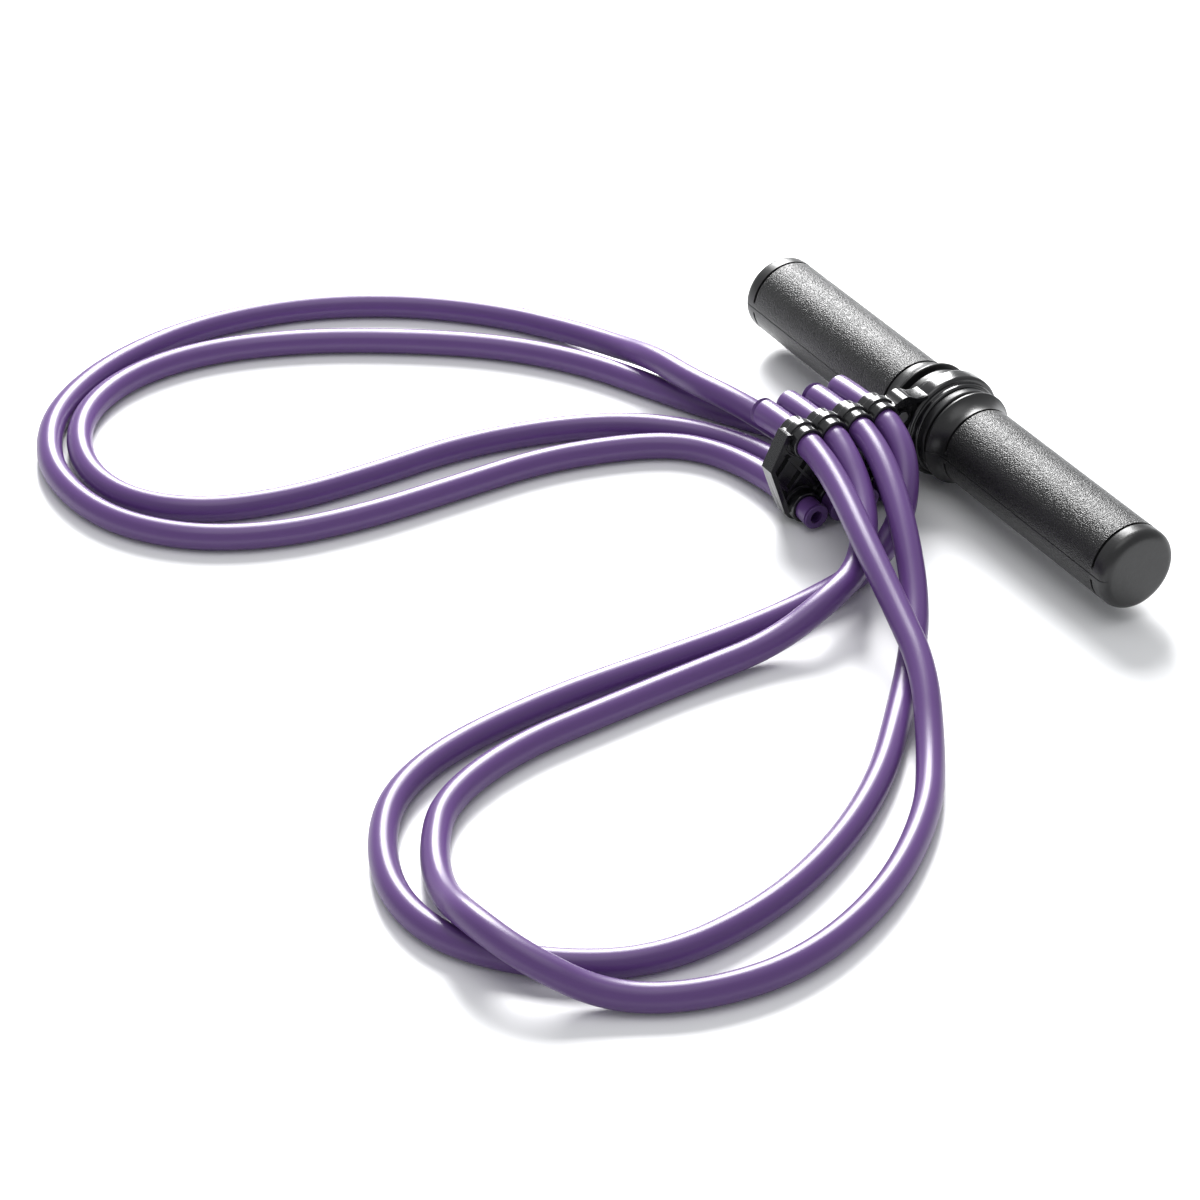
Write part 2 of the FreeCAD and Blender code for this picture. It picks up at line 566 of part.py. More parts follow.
def bracket_solid(doc, sheet):
    """Half of the bracket on its back side, before drilling: rim, web, ribs, arches, neck and ring."""
    plate = upright_prism(doc, sheet, "half_plate", plate_corners("0"), "0", "Sizes.rim_reach")
    neck = upright_prism(doc, sheet, "half_neck", neck_corners(), "0", "Sizes.neck_reach")
    recess = fuse(doc, "half_recess", [
        upright_prism(doc, sheet, "half_plate_recess", plate_corners("Sizes.rim_wall"),
                      "Sizes.web_reach", "Sizes.neck_reach + 1"),
        upright_prism(doc, sheet, "half_neck_recess", neck_recess_corners(),
                      "Sizes.web_reach", "Sizes.neck_reach + 1"),
    ])
    tray = cut(doc, "half_tray", fuse(doc, "half_blank", [plate, neck]), recess)
    inside = upright_prism(doc, sheet, "half_inside", plate_corners("0.5"), "0", "Sizes.rim_reach")
    ribs = doc.addObject("Part::MultiCommon", "half_ribs")
    ribs.Shapes = [zigzag_ribs(doc, "half_rib"), inside]
    shapes = [tray, ribs, ring_body(doc, sheet, "half_ring")]
    for row, sign in (("top", ""), ("bottom", "-")):
        for index in range(CLIPS):
            at = (clip_x(index), f"{sign}Sizes.clip_offset")
            shapes.append(disc(doc, f"half_arch_{row}_{index}", BACK, "Sizes.arch_radius",
                               "0", "Sizes.ribbon_reach", *at))
            shapes.append(disc(doc, f"half_barrel_{row}_{index}", BACK, "Sizes.barrel_radius",
                               "0", "Sizes.barrel_reach", *at))
    for index, (x, z) in enumerate(boss_places()):
        shapes.append(disc(doc, f"half_boss_{index}", BACK, "Sizes.boss_radius",
                           "0", "Sizes.rim_reach", x, z))
    return cut(doc, "half_solid", fuse(doc, "half_joined", shapes),
               fuse(doc, "half_pockets", valley_pockets(doc, "half_pocket")))


def mirrored(doc, name, source):
    """Copy of source on the other side of the bracket's mid-plane."""
    copy = doc.addObject("Part::Mirroring", name)
    copy.Source = source
    copy.Normal = Vector(0, 1, 0)
    return copy


def bracket_openings(doc, name, side):
    """Everything cut from a bracket half: clip bores, ring bore, screw holes and screw heads."""
    shapes = [disc(doc, f"{name}_ring", side, "Sizes.bush_radius", "-1", "Sizes.step_reach + 1")]
    for row, sign in (("top", ""), ("bottom", "-")):
        for index in range(CLIPS):
            shapes.append(disc(doc, f"{name}_clip_{row}_{index}", side, "Sizes.clip_bore_radius",
                               "-1", "Sizes.barrel_reach + 1", clip_x(index), f"{sign}Sizes.clip_offset"))
    for index, (x, z) in enumerate(boss_places()):
        if side == FRONT:
            shapes.append(disc(doc, f"{name}_screw_{index}", side, "Sizes.boss_screw_radius",
                               "-1", "Sizes.rim_reach + 1", x, z))
            shapes.append(disc(doc, f"{name}_head_{index}", side,
                               "Sizes.boss_head_radius + Sizes.boss_head_gap",
                               "Sizes.rim_reach - Sizes.boss_head_sink - Sizes.boss_head_height",
                               "Sizes.rim_reach + 1", x, z))
        else:
            shapes.append(disc(doc, f"{name}_screw_{index}", side, "Sizes.boss_screw_radius",
                               "-1", "Sizes.boss_screw_tip", x, z))
    return fuse(doc, name, shapes)


def bracket_halves(doc, sheet):
    """The front and back halves of the bracket, drilled."""
    back = bracket_solid(doc, sheet)
    front = mirrored(doc, "half_solid_front", back)
    return [cut(doc, "bracket_front", front, bracket_openings(doc, "front_openings", FRONT)),
            cut(doc, "bracket_back", back, bracket_openings(doc, "back_openings", BACK))]


def bracket_screws(doc):
    """Three screws with their heads sunk in the front half and their tips in the back half."""
    screws = []
    for index, (x, z) in enumerate(boss_places()):
        top = "Sizes.rim_reach - Sizes.boss_head_sink"
        under = f"{top} - Sizes.boss_head_height"
        head = disc(doc, f"boss_head_{index}", FRONT, "Sizes.boss_head_radius", under, top, x, z)
        shank = disc(doc, f"boss_shank_{index}", FRONT, "Sizes.boss_screw_radius",
                     "-Sizes.boss_screw_tip", under, x, z)
        screws.append(fuse(doc, f"boss_screw_{index}", [head, shank]))
    return group(doc, "bracket_screws", screws)


def clip_end(sheet, row, index):
    """Cut end, bend on the stub's side and bend on the loop's side of a tube in its clip."""
    x = value_of(sheet, f"Sizes.axis_place + ({clip_x(index)})")
    offset = value_of(sheet, "Sizes.clip_offset")
    axis = value_of(sheet, "Sizes.axis_height")
    stub, drop, near, far = (value_of(sheet, f"Sizes.{row}_{size}")
                             for size in ("stub", "stub_drop", "bend_stub", "bend_loop"))
    if row == "top":
        z = axis + offset
        lean = value_of(sheet, "Sizes.top_stub_lean")
        return [Vector(x - lean, stub, z - drop), Vector(x, near, z), Vector(x, -far, z)]
    z = axis - offset
    return [Vector(x, -stub, z - drop), Vector(x, -near, z), Vector(x, far, z)]


def tube_route(sheet, row, clips, between):
    """All points of a tube: in through one clip, round the loop and out through the other clip."""
    first = clip_end(sheet, row, clips[0])
    last = clip_end(sheet, row, clips[1])
    return first + [Vector(*point) for point in between] + last[::-1]


def rounded_path(name, points):
    """Wire of straight runs joined by tangent arcs, each arc as large as its two runs allow."""
    edges = []
    radii = []
    here = points[0]
    for before, corner, after in zip(points, points[1:], points[2:]):
        back = (before - corner)
        ahead = (after - corner)
        half_turn = (math.pi - back.getAngle(ahead)) / 2
        trim = ARC_SHARE * min(back.Length, ahead.Length)
        radius = trim / math.tan(half_turn)
        start = corner + back.normalize() * trim
        end = corner + ahead.normalize() * trim
        inward = (back + ahead).normalize()
        middle = corner + inward * (math.hypot(radius, trim) - radius)
        edges.append(Part.LineSegment(here, start).toShape())
        edges.append(Part.Arc(start, middle, end).toShape())
        radii.append(radius)
        here = end
    edges.append(Part.LineSegment(here, points[-1]).toShape())
    print(f"{name}: {len(points)} points, radii " + " ".join(f"{radius:.0f}" for radius in radii))
    return Part.Wire(edges)


def elastic_tube(doc, sheet, name, row, clips, between):
    """One elastic tube: a hollow round section swept along its route."""
    path = rounded_path(name, tube_route(sheet, row, clips, between))
    outer = value_of(sheet, "Sizes.tube_radius")
    inner = value_of(sheet, "Sizes.tube_bore / 2")
    start = path.Edges[0].valueAt(path.Edges[0].FirstParameter)
    way = path.Edges[0].tangentAt(path.Edges[0].FirstParameter)
    rods = [path.makePipe(Part.Face(Part.Wire(Part.Circle(start, way, radius).toShape())))
            for radius in (outer, inner)]
    tube = doc.addObject("Part::Feature", name)
    tube.Shape = rods[0].cut(rods[1])
    tube.Placement = Placement()
    expected = math.pi * (outer ** 2 - inner ** 2) * path.Length
    share = tube.Shape.Volume / expected
    print(f"{name}: length {path.Length:.1f}, volume / (section x length) {share:.4f}")
    return tube


def write_parts(doc, nodes):
    """Check every object and write each sub-part to its own STEP file."""
    doc.recompute()
    failed = [obj.Name for obj in doc.Objects if {"Invalid", "Error"} & set(obj.State)]
    if failed:
        raise RuntimeError(f"objects that failed: {failed}")
    os.makedirs("parts", exist_ok=True)
    for node in nodes:
        shape = node.Shape
        if shape.isNull() or not shape.isValid():
            raise RuntimeError(f"{node.Label} has no valid shape")
        box = shape.BoundBox
        print(f"{node.Label}: {len(shape.Solids)} solid(s), {shape.Volume / 1000:.2f} cm3, "
              f"x {box.XMin:.2f}..{box.XMax:.2f} y {box.YMin:.2f}..{box.YMax:.2f} "
              f"z {box.ZMin:.2f}..{box.ZMax:.2f}")
        shape.exportStep(os.path.join("parts", f"{node.Label}.step"))


def main():
    """Build the document and write the parts."""
    doc = FreeCAD.newDocument("swivel_handle_band")
    sheet = make_sheet(doc)
    nodes = []
    for where, side in (("front", FRONT), ("back", BACK)):
        nodes.append(grip_shell(doc, sheet, f"grip_shell_{where}_upper", side, UPPER))
        nodes.append(grip_shell(doc, sheet, f"grip_shell_{where}_lower", side, LOWER))
        nodes.append(thrust_washer(doc, sheet, f"thrust_washer_{where}", side))
        nodes.append(swivel_bush(doc, sheet, f"swivel_bush_{where}", side))
    nodes += bracket_halves(doc, sheet)
    nodes.append(core_tube(doc))
    nodes.append(shell_screws(doc))
    nodes.append(bracket_screws(doc))
    for name, row, clips, between in TUBES:
        nodes.append(elastic_tube(doc, sheet, name, row, clips, between))
    write_parts(doc, nodes)


main()
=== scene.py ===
"""Looks of a swivel bar handle with a flat clip bracket and four elastic tubes.

Every length is in metres, in the frame of the solid model: +Z up from the floor, +Y along the bar
handle, -X from the handle to the bracket's nose.  The solid model gives every place and size; the
pieces made here stand for its nodes with rounded edges, cut grooves, real tube walls and finishes.
"""

import logging
import math
from dataclasses import dataclass, field
from enum import Enum

import bmesh
import bpy
import numpy as np
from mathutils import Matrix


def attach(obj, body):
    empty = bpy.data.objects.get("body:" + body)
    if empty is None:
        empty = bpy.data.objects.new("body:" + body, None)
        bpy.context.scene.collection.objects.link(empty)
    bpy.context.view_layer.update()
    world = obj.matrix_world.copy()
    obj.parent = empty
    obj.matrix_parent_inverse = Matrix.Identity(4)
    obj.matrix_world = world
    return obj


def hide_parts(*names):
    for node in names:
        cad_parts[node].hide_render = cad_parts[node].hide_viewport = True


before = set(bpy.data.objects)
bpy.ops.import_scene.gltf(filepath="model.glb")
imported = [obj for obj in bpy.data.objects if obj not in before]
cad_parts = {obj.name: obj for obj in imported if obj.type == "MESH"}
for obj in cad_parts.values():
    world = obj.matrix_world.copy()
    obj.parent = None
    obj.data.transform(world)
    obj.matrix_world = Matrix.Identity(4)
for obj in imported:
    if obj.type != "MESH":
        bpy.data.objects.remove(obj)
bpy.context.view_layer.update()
LOG = logging.getLogger("swivel_handle")

MM = 0.001
CLIPS = 4
Colour = tuple[float, float, float]
Point = tuple[float, float, float]
Corner = tuple[float, float, float]     # a place in a plane and the radius that rounds it
Socket = bpy.types.NodeSocket
Sockets = dict[str, Socket]


class Body(Enum):
    """The two rigid bodies of the object."""

    BRACKET = "bracket"
    HANDLE = "handle"


class Side(Enum):
    """Which side of the bracket's mid-plane a piece is on, as the sign of its Y."""

    FRONT = -1
    BACK = 1

    @property
    def word(self) -> str:
        """The side's name in a node's name."""
        return self.name.lower()


class Half(Enum):
    """Upper or lower half shell of a grip, as the sign of its Z from the swivel axis."""

    UPPER = 1
    LOWER = -1

    @property
    def word(self) -> str:
        """The half's name in a node's name."""
        return self.name.lower()


# --------------------------------------------------------------------------------------------------
# Shader node groups and finishes
# --------------------------------------------------------------------------------------------------


class Nodes:
    """Short way to build a node tree: adds nodes, sets their inputs and links them."""

    def __init__(self, tree: bpy.types.NodeTree) -> None:
        """Keep the tree that the nodes go into."""
        self.tree = tree

    def add(self, kind: str, settings: dict[str, object] | None = None, **inputs: object) -> bpy.types.Node:
        """Add one node.

        Args:
            kind: the node type without its ShaderNode prefix.
            settings: the node's own properties, by name.
            **inputs: input sockets by name, spaces written as _; a value or another node's output.

        Returns:
            The new node.
        """
        node = self.tree.nodes.new(kind if kind.startswith("Node") else f"ShaderNode{kind}")
        for name, value in (settings or {}).items():
            setattr(node, name, value)
        for name, value in inputs.items():
            self.feed(node.inputs[self.socket(name)], value)
        return node

    def feed(self, socket: Socket, value: object) -> None:
        """Link an output to a socket, or set the socket's own value."""
        if isinstance(value, Socket):
            self.tree.links.new(value, socket)
        else:
            socket.default_value = value

    @staticmethod
    def socket(name: str) -> int | str:
        """Input name or number from a keyword: in_0 is the first input, Base_Color is 'Base Color'."""
        if name.startswith("in_"):
            return int(name[3:])
        return name.replace("_", " ")

    def math(self, operation: str, first: object, second: object = 0.0) -> Socket:
        """One Math node; returns its output."""
        node = self.add("Math", {"operation": operation}, in_0=first, in_1=second)
        return node.outputs[0]

    def span(self, value: object, low: float, high: float, to_low: float,
             to_high: float) -> Socket:
        """Map Range from low..high to to_low..to_high, clamped; returns its output."""
        node = self.add("MapRange", None, Value=value, From_Min=low, From_Max=high,
                        To_Min=to_low, To_Max=to_high)
        return node.outputs[0]


class Effect:
    """A shared effect as a node group with named inputs and outputs, built once."""

    name: str = "effect"
    inputs: dict[str, tuple[str, object]] = {}
    outputs: dict[str, str] = {}

    @classmethod
    def group(cls) -> bpy.types.NodeTree:
        """The effect's node group, made on first use."""
        made = bpy.data.node_groups.get(cls.name)
        if made is not None:
            return made
        tree = bpy.data.node_groups.new(cls.name, "ShaderNodeTree")
        for name, (kind, value) in cls.inputs.items():
            socket = tree.interface.new_socket(name, in_out="INPUT", socket_type=kind)
            if value is not None:
                socket.default_value = value
        for name, kind in cls.outputs.items():
            tree.interface.new_socket(name, in_out="OUTPUT", socket_type=kind)
        nodes = Nodes(tree)
        entry = nodes.add("NodeGroupInput")
        leave = nodes.add("NodeGroupOutput")
        for name, value in cls.build(nodes, entry.outputs).items():
            nodes.feed(leave.inputs[name], value)
        return tree

    @classmethod
    def build(cls, nodes: Nodes, entry: bpy.types.NodeOutputs) -> Sockets:
        """Make the nodes between the group's inputs and outputs; returns the outputs by name."""
        raise NotImplementedError

    @classmethod
    def place(cls, nodes: Nodes, **values: object) -> bpy.types.NodeOutputs:
        """Put the group in a material with its own values; returns the group's outputs."""
        node = nodes.add("Group", {"node_tree": cls.group()})
        for name, value in values.items():
            nodes.feed(node.inputs[name.replace("_", " ")], value)
        return node.outputs


class PebbleGrain(Effect):
    """Moulded pebble grain: rounded cells of two sizes with fine pits between them."""

    name = "pebble_grain"
    inputs = {"Vector": ("NodeSocketVector", None), "Grain Size": ("NodeSocketFloat", 0.0008)}
    outputs = {"Height": "NodeSocketFloat", "Pits": "NodeSocketFloat"}

    @classmethod
    def build(cls, nodes: Nodes, entry: bpy.types.NodeOutputs) -> Sockets:
        """Height is the smoothed distance to cell centres turned over, plus half-size cells and noise."""
        scale = nodes.math("DIVIDE", 1.0, entry["Grain Size"])
        cells = nodes.add("TexVoronoi", {"feature": "SMOOTH_F1"}, Vector=entry["Vector"], Scale=scale,
                          Smoothness=0.35, Randomness=1.0).outputs["Distance"]
        small = nodes.add("TexVoronoi", {"feature": "SMOOTH_F1"}, Vector=entry["Vector"],
                          Scale=nodes.math("MULTIPLY", scale, 2.1), Smoothness=0.4).outputs["Distance"]
        noise = nodes.add("TexNoise", None, Vector=entry["Vector"], Scale=nodes.math("MULTIPLY", scale, 0.6),
                          Detail=3.0, Roughness=0.6).outputs[0]
        domes = nodes.span(cells, 0.1, 0.75, 1.0, 0.0)
        fine = nodes.span(small, 0.1, 0.8, 0.35, 0.0)
        height = nodes.math("ADD", nodes.math("ADD", domes, fine), nodes.math("MULTIPLY", noise, 0.5))
        pits = nodes.span(cells, 0.45, 0.8, 0.0, 1.0)
        return {"Height": height, "Pits": pits}


class Blotches(Effect):
    """Slow uneven patches, as handling and moulding leave on a surface."""

    name = "blotches"
    inputs = {"Vector": ("NodeSocketVector", None), "Patch Size": ("NodeSocketFloat", 0.02),
              "Low": ("NodeSocketFloat", 0.0), "High": ("NodeSocketFloat", 1.0)}
    outputs = {"Value": "NodeSocketFloat"}

    @classmethod
    def build(cls, nodes: Nodes, entry: bpy.types.NodeOutputs) -> Sockets:
        """Value runs from Low to High with a noise of the patch size."""
        noise = nodes.add("TexNoise", None, Vector=entry["Vector"],
                          Scale=nodes.math("DIVIDE", 1.0, entry["Patch Size"]), Detail=4.0,
                          Roughness=0.55, Distortion=0.4).outputs[0]
        spread = nodes.add("MapRange", None, Value=noise, From_Min=0.32, From_Max=0.68,
                           To_Min=entry["Low"], To_Max=entry["High"])
        return {"Value": spread.outputs[0]}


class DustSpecks(Effect):
    """Sparse pale specks, each a small dot in a random cell."""

    name = "dust_specks"
    inputs = {"Vector": ("NodeSocketVector", None), "Spacing": ("NodeSocketFloat", 0.004),
              "Amount": ("NodeSocketFloat", 0.3)}
    outputs = {"Mask": "NodeSocketFloat"}

    @classmethod
    def build(cls, nodes: Nodes, entry: bpy.types.NodeOutputs) -> Sockets:
        """Mask is 1 within a small distance of a cell's centre, times Amount, in a third of the cells."""
        cells = nodes.add("TexVoronoi", {"feature": "F1"}, Vector=entry["Vector"],
                          Scale=nodes.math("DIVIDE", 1.0, entry["Spacing"]))
        dots = nodes.span(cells.outputs["Distance"], 0.02, 0.05, 1.0, 0.0)
        lot = nodes.add("SeparateColor", None, Color=cells.outputs["Color"]).outputs[0]
        chosen = nodes.math("GREATER_THAN", lot, 0.66)
        return {"Mask": nodes.math("MULTIPLY", nodes.math("MULTIPLY", dots, chosen), entry["Amount"])}


class Tint(Effect):
    """A colour made lighter or darker by a factor, then mixed towards dust by a mask."""

    name = "tint"
    inputs = {"Color": ("NodeSocketColor", (0.5, 0.5, 0.5, 1.0)), "Factor": ("NodeSocketFloat", 1.0),
              "Dust": ("NodeSocketFloat", 0.0)}
    outputs = {"Color": "NodeSocketColor"}

    @classmethod
    def build(cls, nodes: Nodes, entry: bpy.types.NodeOutputs) -> Sockets:
        """Color times Factor, then the share Dust of a pale grey."""
        scaled = nodes.add("VectorMath", {"operation": "SCALE"}, in_0=entry["Color"], Scale=entry["Factor"])
        mixed = nodes.add("Mix", {"data_type": "RGBA"})
        nodes.feed(mixed.inputs["Factor"], entry["Dust"])
        nodes.feed(mixed.inputs[6], scaled.outputs[0])
        nodes.feed(mixed.inputs[7], (0.42, 0.42, 0.43, 1.0))
        return {"Color": mixed.outputs[2]}


@dataclass(frozen=True)
class Finish:
    """What every finish shares: a name, a colour and the shader's uniform values."""

    name: str
    colour: Colour
    roughness: tuple[float, float] = (0.4, 0.5)
    patch: float = 0.02
    shade: tuple[float, float] = (0.9, 1.1)
    dust: float = 0.0
    metallic: float = 0.0
    specular: float = 0.5
    coat: float = 0.0
    coat_roughness: float = 0.1
    bump: float = 0.0

    def height(self, nodes: Nodes, vector: Socket) -> Socket | None:
        """The relief that feeds the Bump node, in metres, or None for a smooth surface."""
        return None

    def coordinates(self, nodes: Nodes) -> Socket:
        """Where the pattern is read: the piece's own coordinates."""
        return nodes.add("TexCoord").outputs["Object"]

    def material(self) -> bpy.types.Material:
        """The finish's material, made on first use."""
        made = bpy.data.materials.get(self.name)
        if made is not None:
            return made
        material = bpy.data.materials.new(self.name)
        material.use_nodes = True
        material.node_tree.nodes.clear()
        nodes = Nodes(material.node_tree)
        vector = self.coordinates(nodes)
        low, high = self.roughness
        rough = Blotches.place(nodes, Vector=vector, Patch_Size=self.patch, Low=low, High=high)["Value"]
        shade = Blotches.place(nodes, Vector=vector, Patch_Size=self.patch * 2.3, Low=self.shade[0],
                               High=self.shade[1])["Value"]
        specks = DustSpecks.place(nodes, Vector=vector, Spacing=0.005, Amount=self.dust)["Mask"]
        colour = Tint.place(nodes, Color=(*self.colour, 1.0), Factor=shade, Dust=specks)["Color"]
        shader = nodes.add("BsdfPrincipled", None, Base_Color=colour, Roughness=rough,
                           Metallic=self.metallic, Specular_IOR_Level=self.specular,
                           Coat_Weight=self.coat, Coat_Roughness=self.coat_roughness)
        relief = self.height(nodes, vector)
        if relief is not None:
            bump = nodes.add("Bump", None, Strength=1.0, Distance=self.bump, Height=relief)
            nodes.feed(shader.inputs["Normal"], bump.outputs[0])
        nodes.add("OutputMaterial", None, Surface=shader.outputs[0])
        material.diffuse_color = (*self.colour, 1.0)
        return material


@dataclass(frozen=True)
class PebbledPlastic(Finish):
    """Moulded plastic with a pebble grain."""

    grain: float = 0.0008

    def height(self, nodes: Nodes, vector: Socket) -> Socket:
        """Pebbles of the grain's size."""
        return PebbleGrain.place(nodes, Vector=vector, Grain_Size=self.grain)["Height"]


@dataclass(frozen=True)
class MouldedPlastic(Finish):
    """Smooth moulded plastic with a faint waviness."""

    wave: float = 0.004

    def height(self, nodes: Nodes, vector: Socket) -> Socket:
        """Slow waves with a little fine texture on them."""
        slow = nodes.add("TexNoise", None, Vector=vector, Scale=1.0 / self.wave, Detail=2.0).outputs[0]
        fine = nodes.add("TexNoise", None, Vector=vector, Scale=12.0 / self.wave, Detail=3.0).outputs[0]
        return nodes.math("ADD", slow, nodes.math("MULTIPLY", fine, 0.12))


@dataclass(frozen=True)
class TurnedSteel(Finish):
    """Steel with fine turning marks."""

    def height(self, nodes: Nodes, vector: Socket) -> Socket:
        """Fine rings across Y."""
        marks = nodes.add("Mapping", {"vector_type": "TEXTURE"}, Vector=vector, Scale=(1.0, 0.02, 1.0))
        return nodes.add("TexNoise", None, Vector=marks.outputs[0], Scale=180.0, Detail=4.0).outputs[0]


@dataclass(frozen=True)
class Latex(Finish):
    """Satin extruded latex: faint streaks along the tube and a soft bloom."""

    streak: float = 40.0

    def coordinates(self, nodes: Nodes) -> Socket:
        """The tube's own map: once round in x, metres along in y."""
        return nodes.add("UVMap", {"uv_map": "along"}).outputs[0]

    def height(self, nodes: Nodes, vector: Socket) -> Socket:
        """Long streaks from the die, wavered by a slow noise along the tube."""
        stretched = nodes.add("Mapping", None, Vector=vector, Scale=(1.0, 0.35, 1.0))
        streaks = nodes.add("TexNoise", None, Vector=stretched.outputs[0], Scale=self.streak,
                            Detail=3.0).outputs[0]
        pores = nodes.add("TexNoise", None, Vector=nodes.add("TexCoord").outputs["Object"], Scale=2200.0,
                          Detail=2.0).outputs[0]
        return nodes.math("ADD", streaks, nodes.math("MULTIPLY", pores, 0.5))


GRIP = PebbledPlastic("grip_pebbled", (0.007, 0.007, 0.0073), roughness=(0.28, 0.34), patch=0.03,
                      shade=(0.85, 1.2), dust=0.25, specular=0.5, bump=0.00013, grain=0.00055)
GRIP_SMOOTH = MouldedPlastic("grip_smooth", (0.012, 0.012, 0.0125), roughness=(0.3, 0.4), patch=0.018,
                             shade=(0.9, 1.15), dust=0.3, bump=0.00004, wave=0.0016)
BUSH = MouldedPlastic("bush_satin", (0.014, 0.014, 0.015), roughness=(0.3, 0.4), patch=0.015,
                      dust=0.2, bump=0.00003, wave=0.0015)
WASHER = MouldedPlastic("washer_plastic", (0.03, 0.03, 0.03), roughness=(0.45, 0.6), patch=0.01,
                        bump=0.00003, wave=0.0012)
BRACKET = MouldedPlastic("bracket_gloss", (0.007, 0.007, 0.008), roughness=(0.17, 0.25), patch=0.012,
                         shade=(0.9, 1.2), dust=0.25, specular=0.55, coat=0.25, coat_roughness=0.14,
                         bump=0.00006, wave=0.006)
SCREW = TurnedSteel("screw_steel", (0.3, 0.3, 0.31), roughness=(0.28, 0.42), patch=0.003, metallic=1.0,
                    bump=0.00001)
CORE = TurnedSteel("core_steel", (0.5, 0.5, 0.51), roughness=(0.25, 0.35), patch=0.01, metallic=1.0,
                   bump=0.00001)
LATEX = Latex("tube_latex", (0.098, 0.042, 0.175), roughness=(0.3, 0.4), patch=0.35, shade=(0.93, 1.08),
              dust=0.0, specular=0.45, coat=0.12, coat_roughness=0.3, bump=0.00004)


# --------------------------------------------------------------------------------------------------
# Surfaces
# --------------------------------------------------------------------------------------------------


@dataclass
class Grid:
    """A surface over two parameters: rows by columns of points, each way open or closed."""

    points: np.ndarray
    close_rows: bool = False
    close_columns: bool = False

    def quads(self) -> np.ndarray:
        """Corner numbers of every quad, as an array of four columns."""
        rows, columns = self.points.shape[:2]
        first = np.arange(rows if self.close_rows else rows - 1)
        second = np.arange(columns if self.close_columns else columns - 1)
        i, j = np.meshgrid(first, second, indexing="ij")
        ahead, beside = (i + 1) % rows, (j + 1) % columns
        corners = [i * columns + j, i * columns + beside, ahead * columns + beside, ahead * columns + j]
        return np.stack([corner.ravel() for corner in corners], axis=1)


def make_object(name: str, vertices: np.ndarray, faces: list, smooth_angle: float = 32.0) -> bpy.types.Object:
    """Make a mesh object from arrays, with doubles merged and normals pointing outwards.

    Args:
        name: the piece's name.
        vertices: points, one row each, in the model's frame.
        faces: corner numbers of each face.
        smooth_angle: edges that turn more than this, in degrees, stay sharp.

    Returns:
        The object, at the origin, with its place in its mesh.
    """
    mesh = bpy.data.meshes.new(name)
    mesh.from_pydata(vertices.reshape(-1, 3), [], [list(map(int, face)) for face in faces])
    return finish_mesh(name, mesh, smooth_angle)


def finish_mesh(name: str, mesh: bpy.types.Mesh, smooth_angle: float) -> bpy.types.Object:
    """Merge doubles, turn normals outwards, smooth the faces and link the object to the scene."""
    work = bmesh.new()
    work.from_mesh(mesh)
    bmesh.ops.remove_doubles(work, verts=work.verts, dist=2e-6)
    bmesh.ops.recalc_face_normals(work, faces=work.faces)
    work.to_mesh(mesh)
    work.free()
    mesh.polygons.foreach_set("use_smooth", np.ones(len(mesh.polygons), dtype=bool))
    mesh.set_sharp_from_angle(angle=math.radians(smooth_angle))
    mesh.update()
    piece = bpy.data.objects.new(name, mesh)
    bpy.context.scene.collection.objects.link(piece)
    return piece


def rounded_outline(corners: list[Corner], steps: int = 5) -> np.ndarray:
    """Round the corners of an outline in the plane.

    Each corner's arc touches both its sides: its points are the corner plus the two unit side
    directions, weighted so that they lie on a circle of the corner's radius.

    Args:
        corners: x, y and rounding radius of each corner, in order.
        steps: segments of each arc.

    Returns:
        The outline's points, two columns.
    """
    places = np.array([corner[:2] for corner in corners])
    outline = []
    for index, (here, radius) in enumerate(zip(places, (corner[2] for corner in corners))):
        if radius <= 0.0:
            outline.append(here[None, :])
            continue
        back = places[index - 1] - here
        ahead = places[(index + 1) % len(places)] - here
        back, ahead = back / np.linalg.norm(back), ahead / np.linalg.norm(ahead)
        half = math.acos(float(np.clip(back @ ahead, -1.0, 1.0))) / 2.0
        bisector = (back + ahead) / np.linalg.norm(back + ahead)
        centre = here + bisector * radius / math.sin(half)
        start = here + back * radius / math.tan(half) - centre
        sweep = math.pi - 2.0 * half
        turn = np.sign(start[0] * (here - centre)[1] - start[1] * (here - centre)[0])
        angles = turn * np.linspace(0.0, sweep, steps + 1)
        outline.append(np.stack([centre[0] + start[0] * np.cos(angles) - start[1] * np.sin(angles),
                                 centre[1] + start[0] * np.sin(angles) + start[1] * np.cos(angles)], axis=1))
    return np.concatenate(outline)


# --------------------------------------------------------------------------------------------------
# The bar handle
# --------------------------------------------------------------------------------------------------


@dataclass
class SwivelAxis:
    """The line that the handle turns about, along Y."""

    x: float = 30.5 * MM
    z: float = 21.0 * MM

    def lathe(self, outline: np.ndarray, angles: np.ndarray, side: int, up: int = 1) -> np.ndarray:
        """Points of an outline turned round the axis.

        A point at radius r, distance a along the axis and angle t is at x + r cos t, side times a,
        z + up times r sin t.

        Args:
            outline: radius and distance along the axis, two columns.
            angles: angles from +X, in radians.
            side: 1 or -1, the way along Y.
            up: 1 or -1, the way of positive angles.

        Returns:
            Points, rows for the outline and columns for the angles.
        """
        radius, along = outline[:, 0][:, None], outline[:, 1][:, None]
        ones = np.ones_like(angles)[None, :]
        return np.stack([self.x + radius * np.cos(angles)[None, :], side * along * ones,
                         self.z + up * radius * np.sin(angles)[None, :]], axis=2)


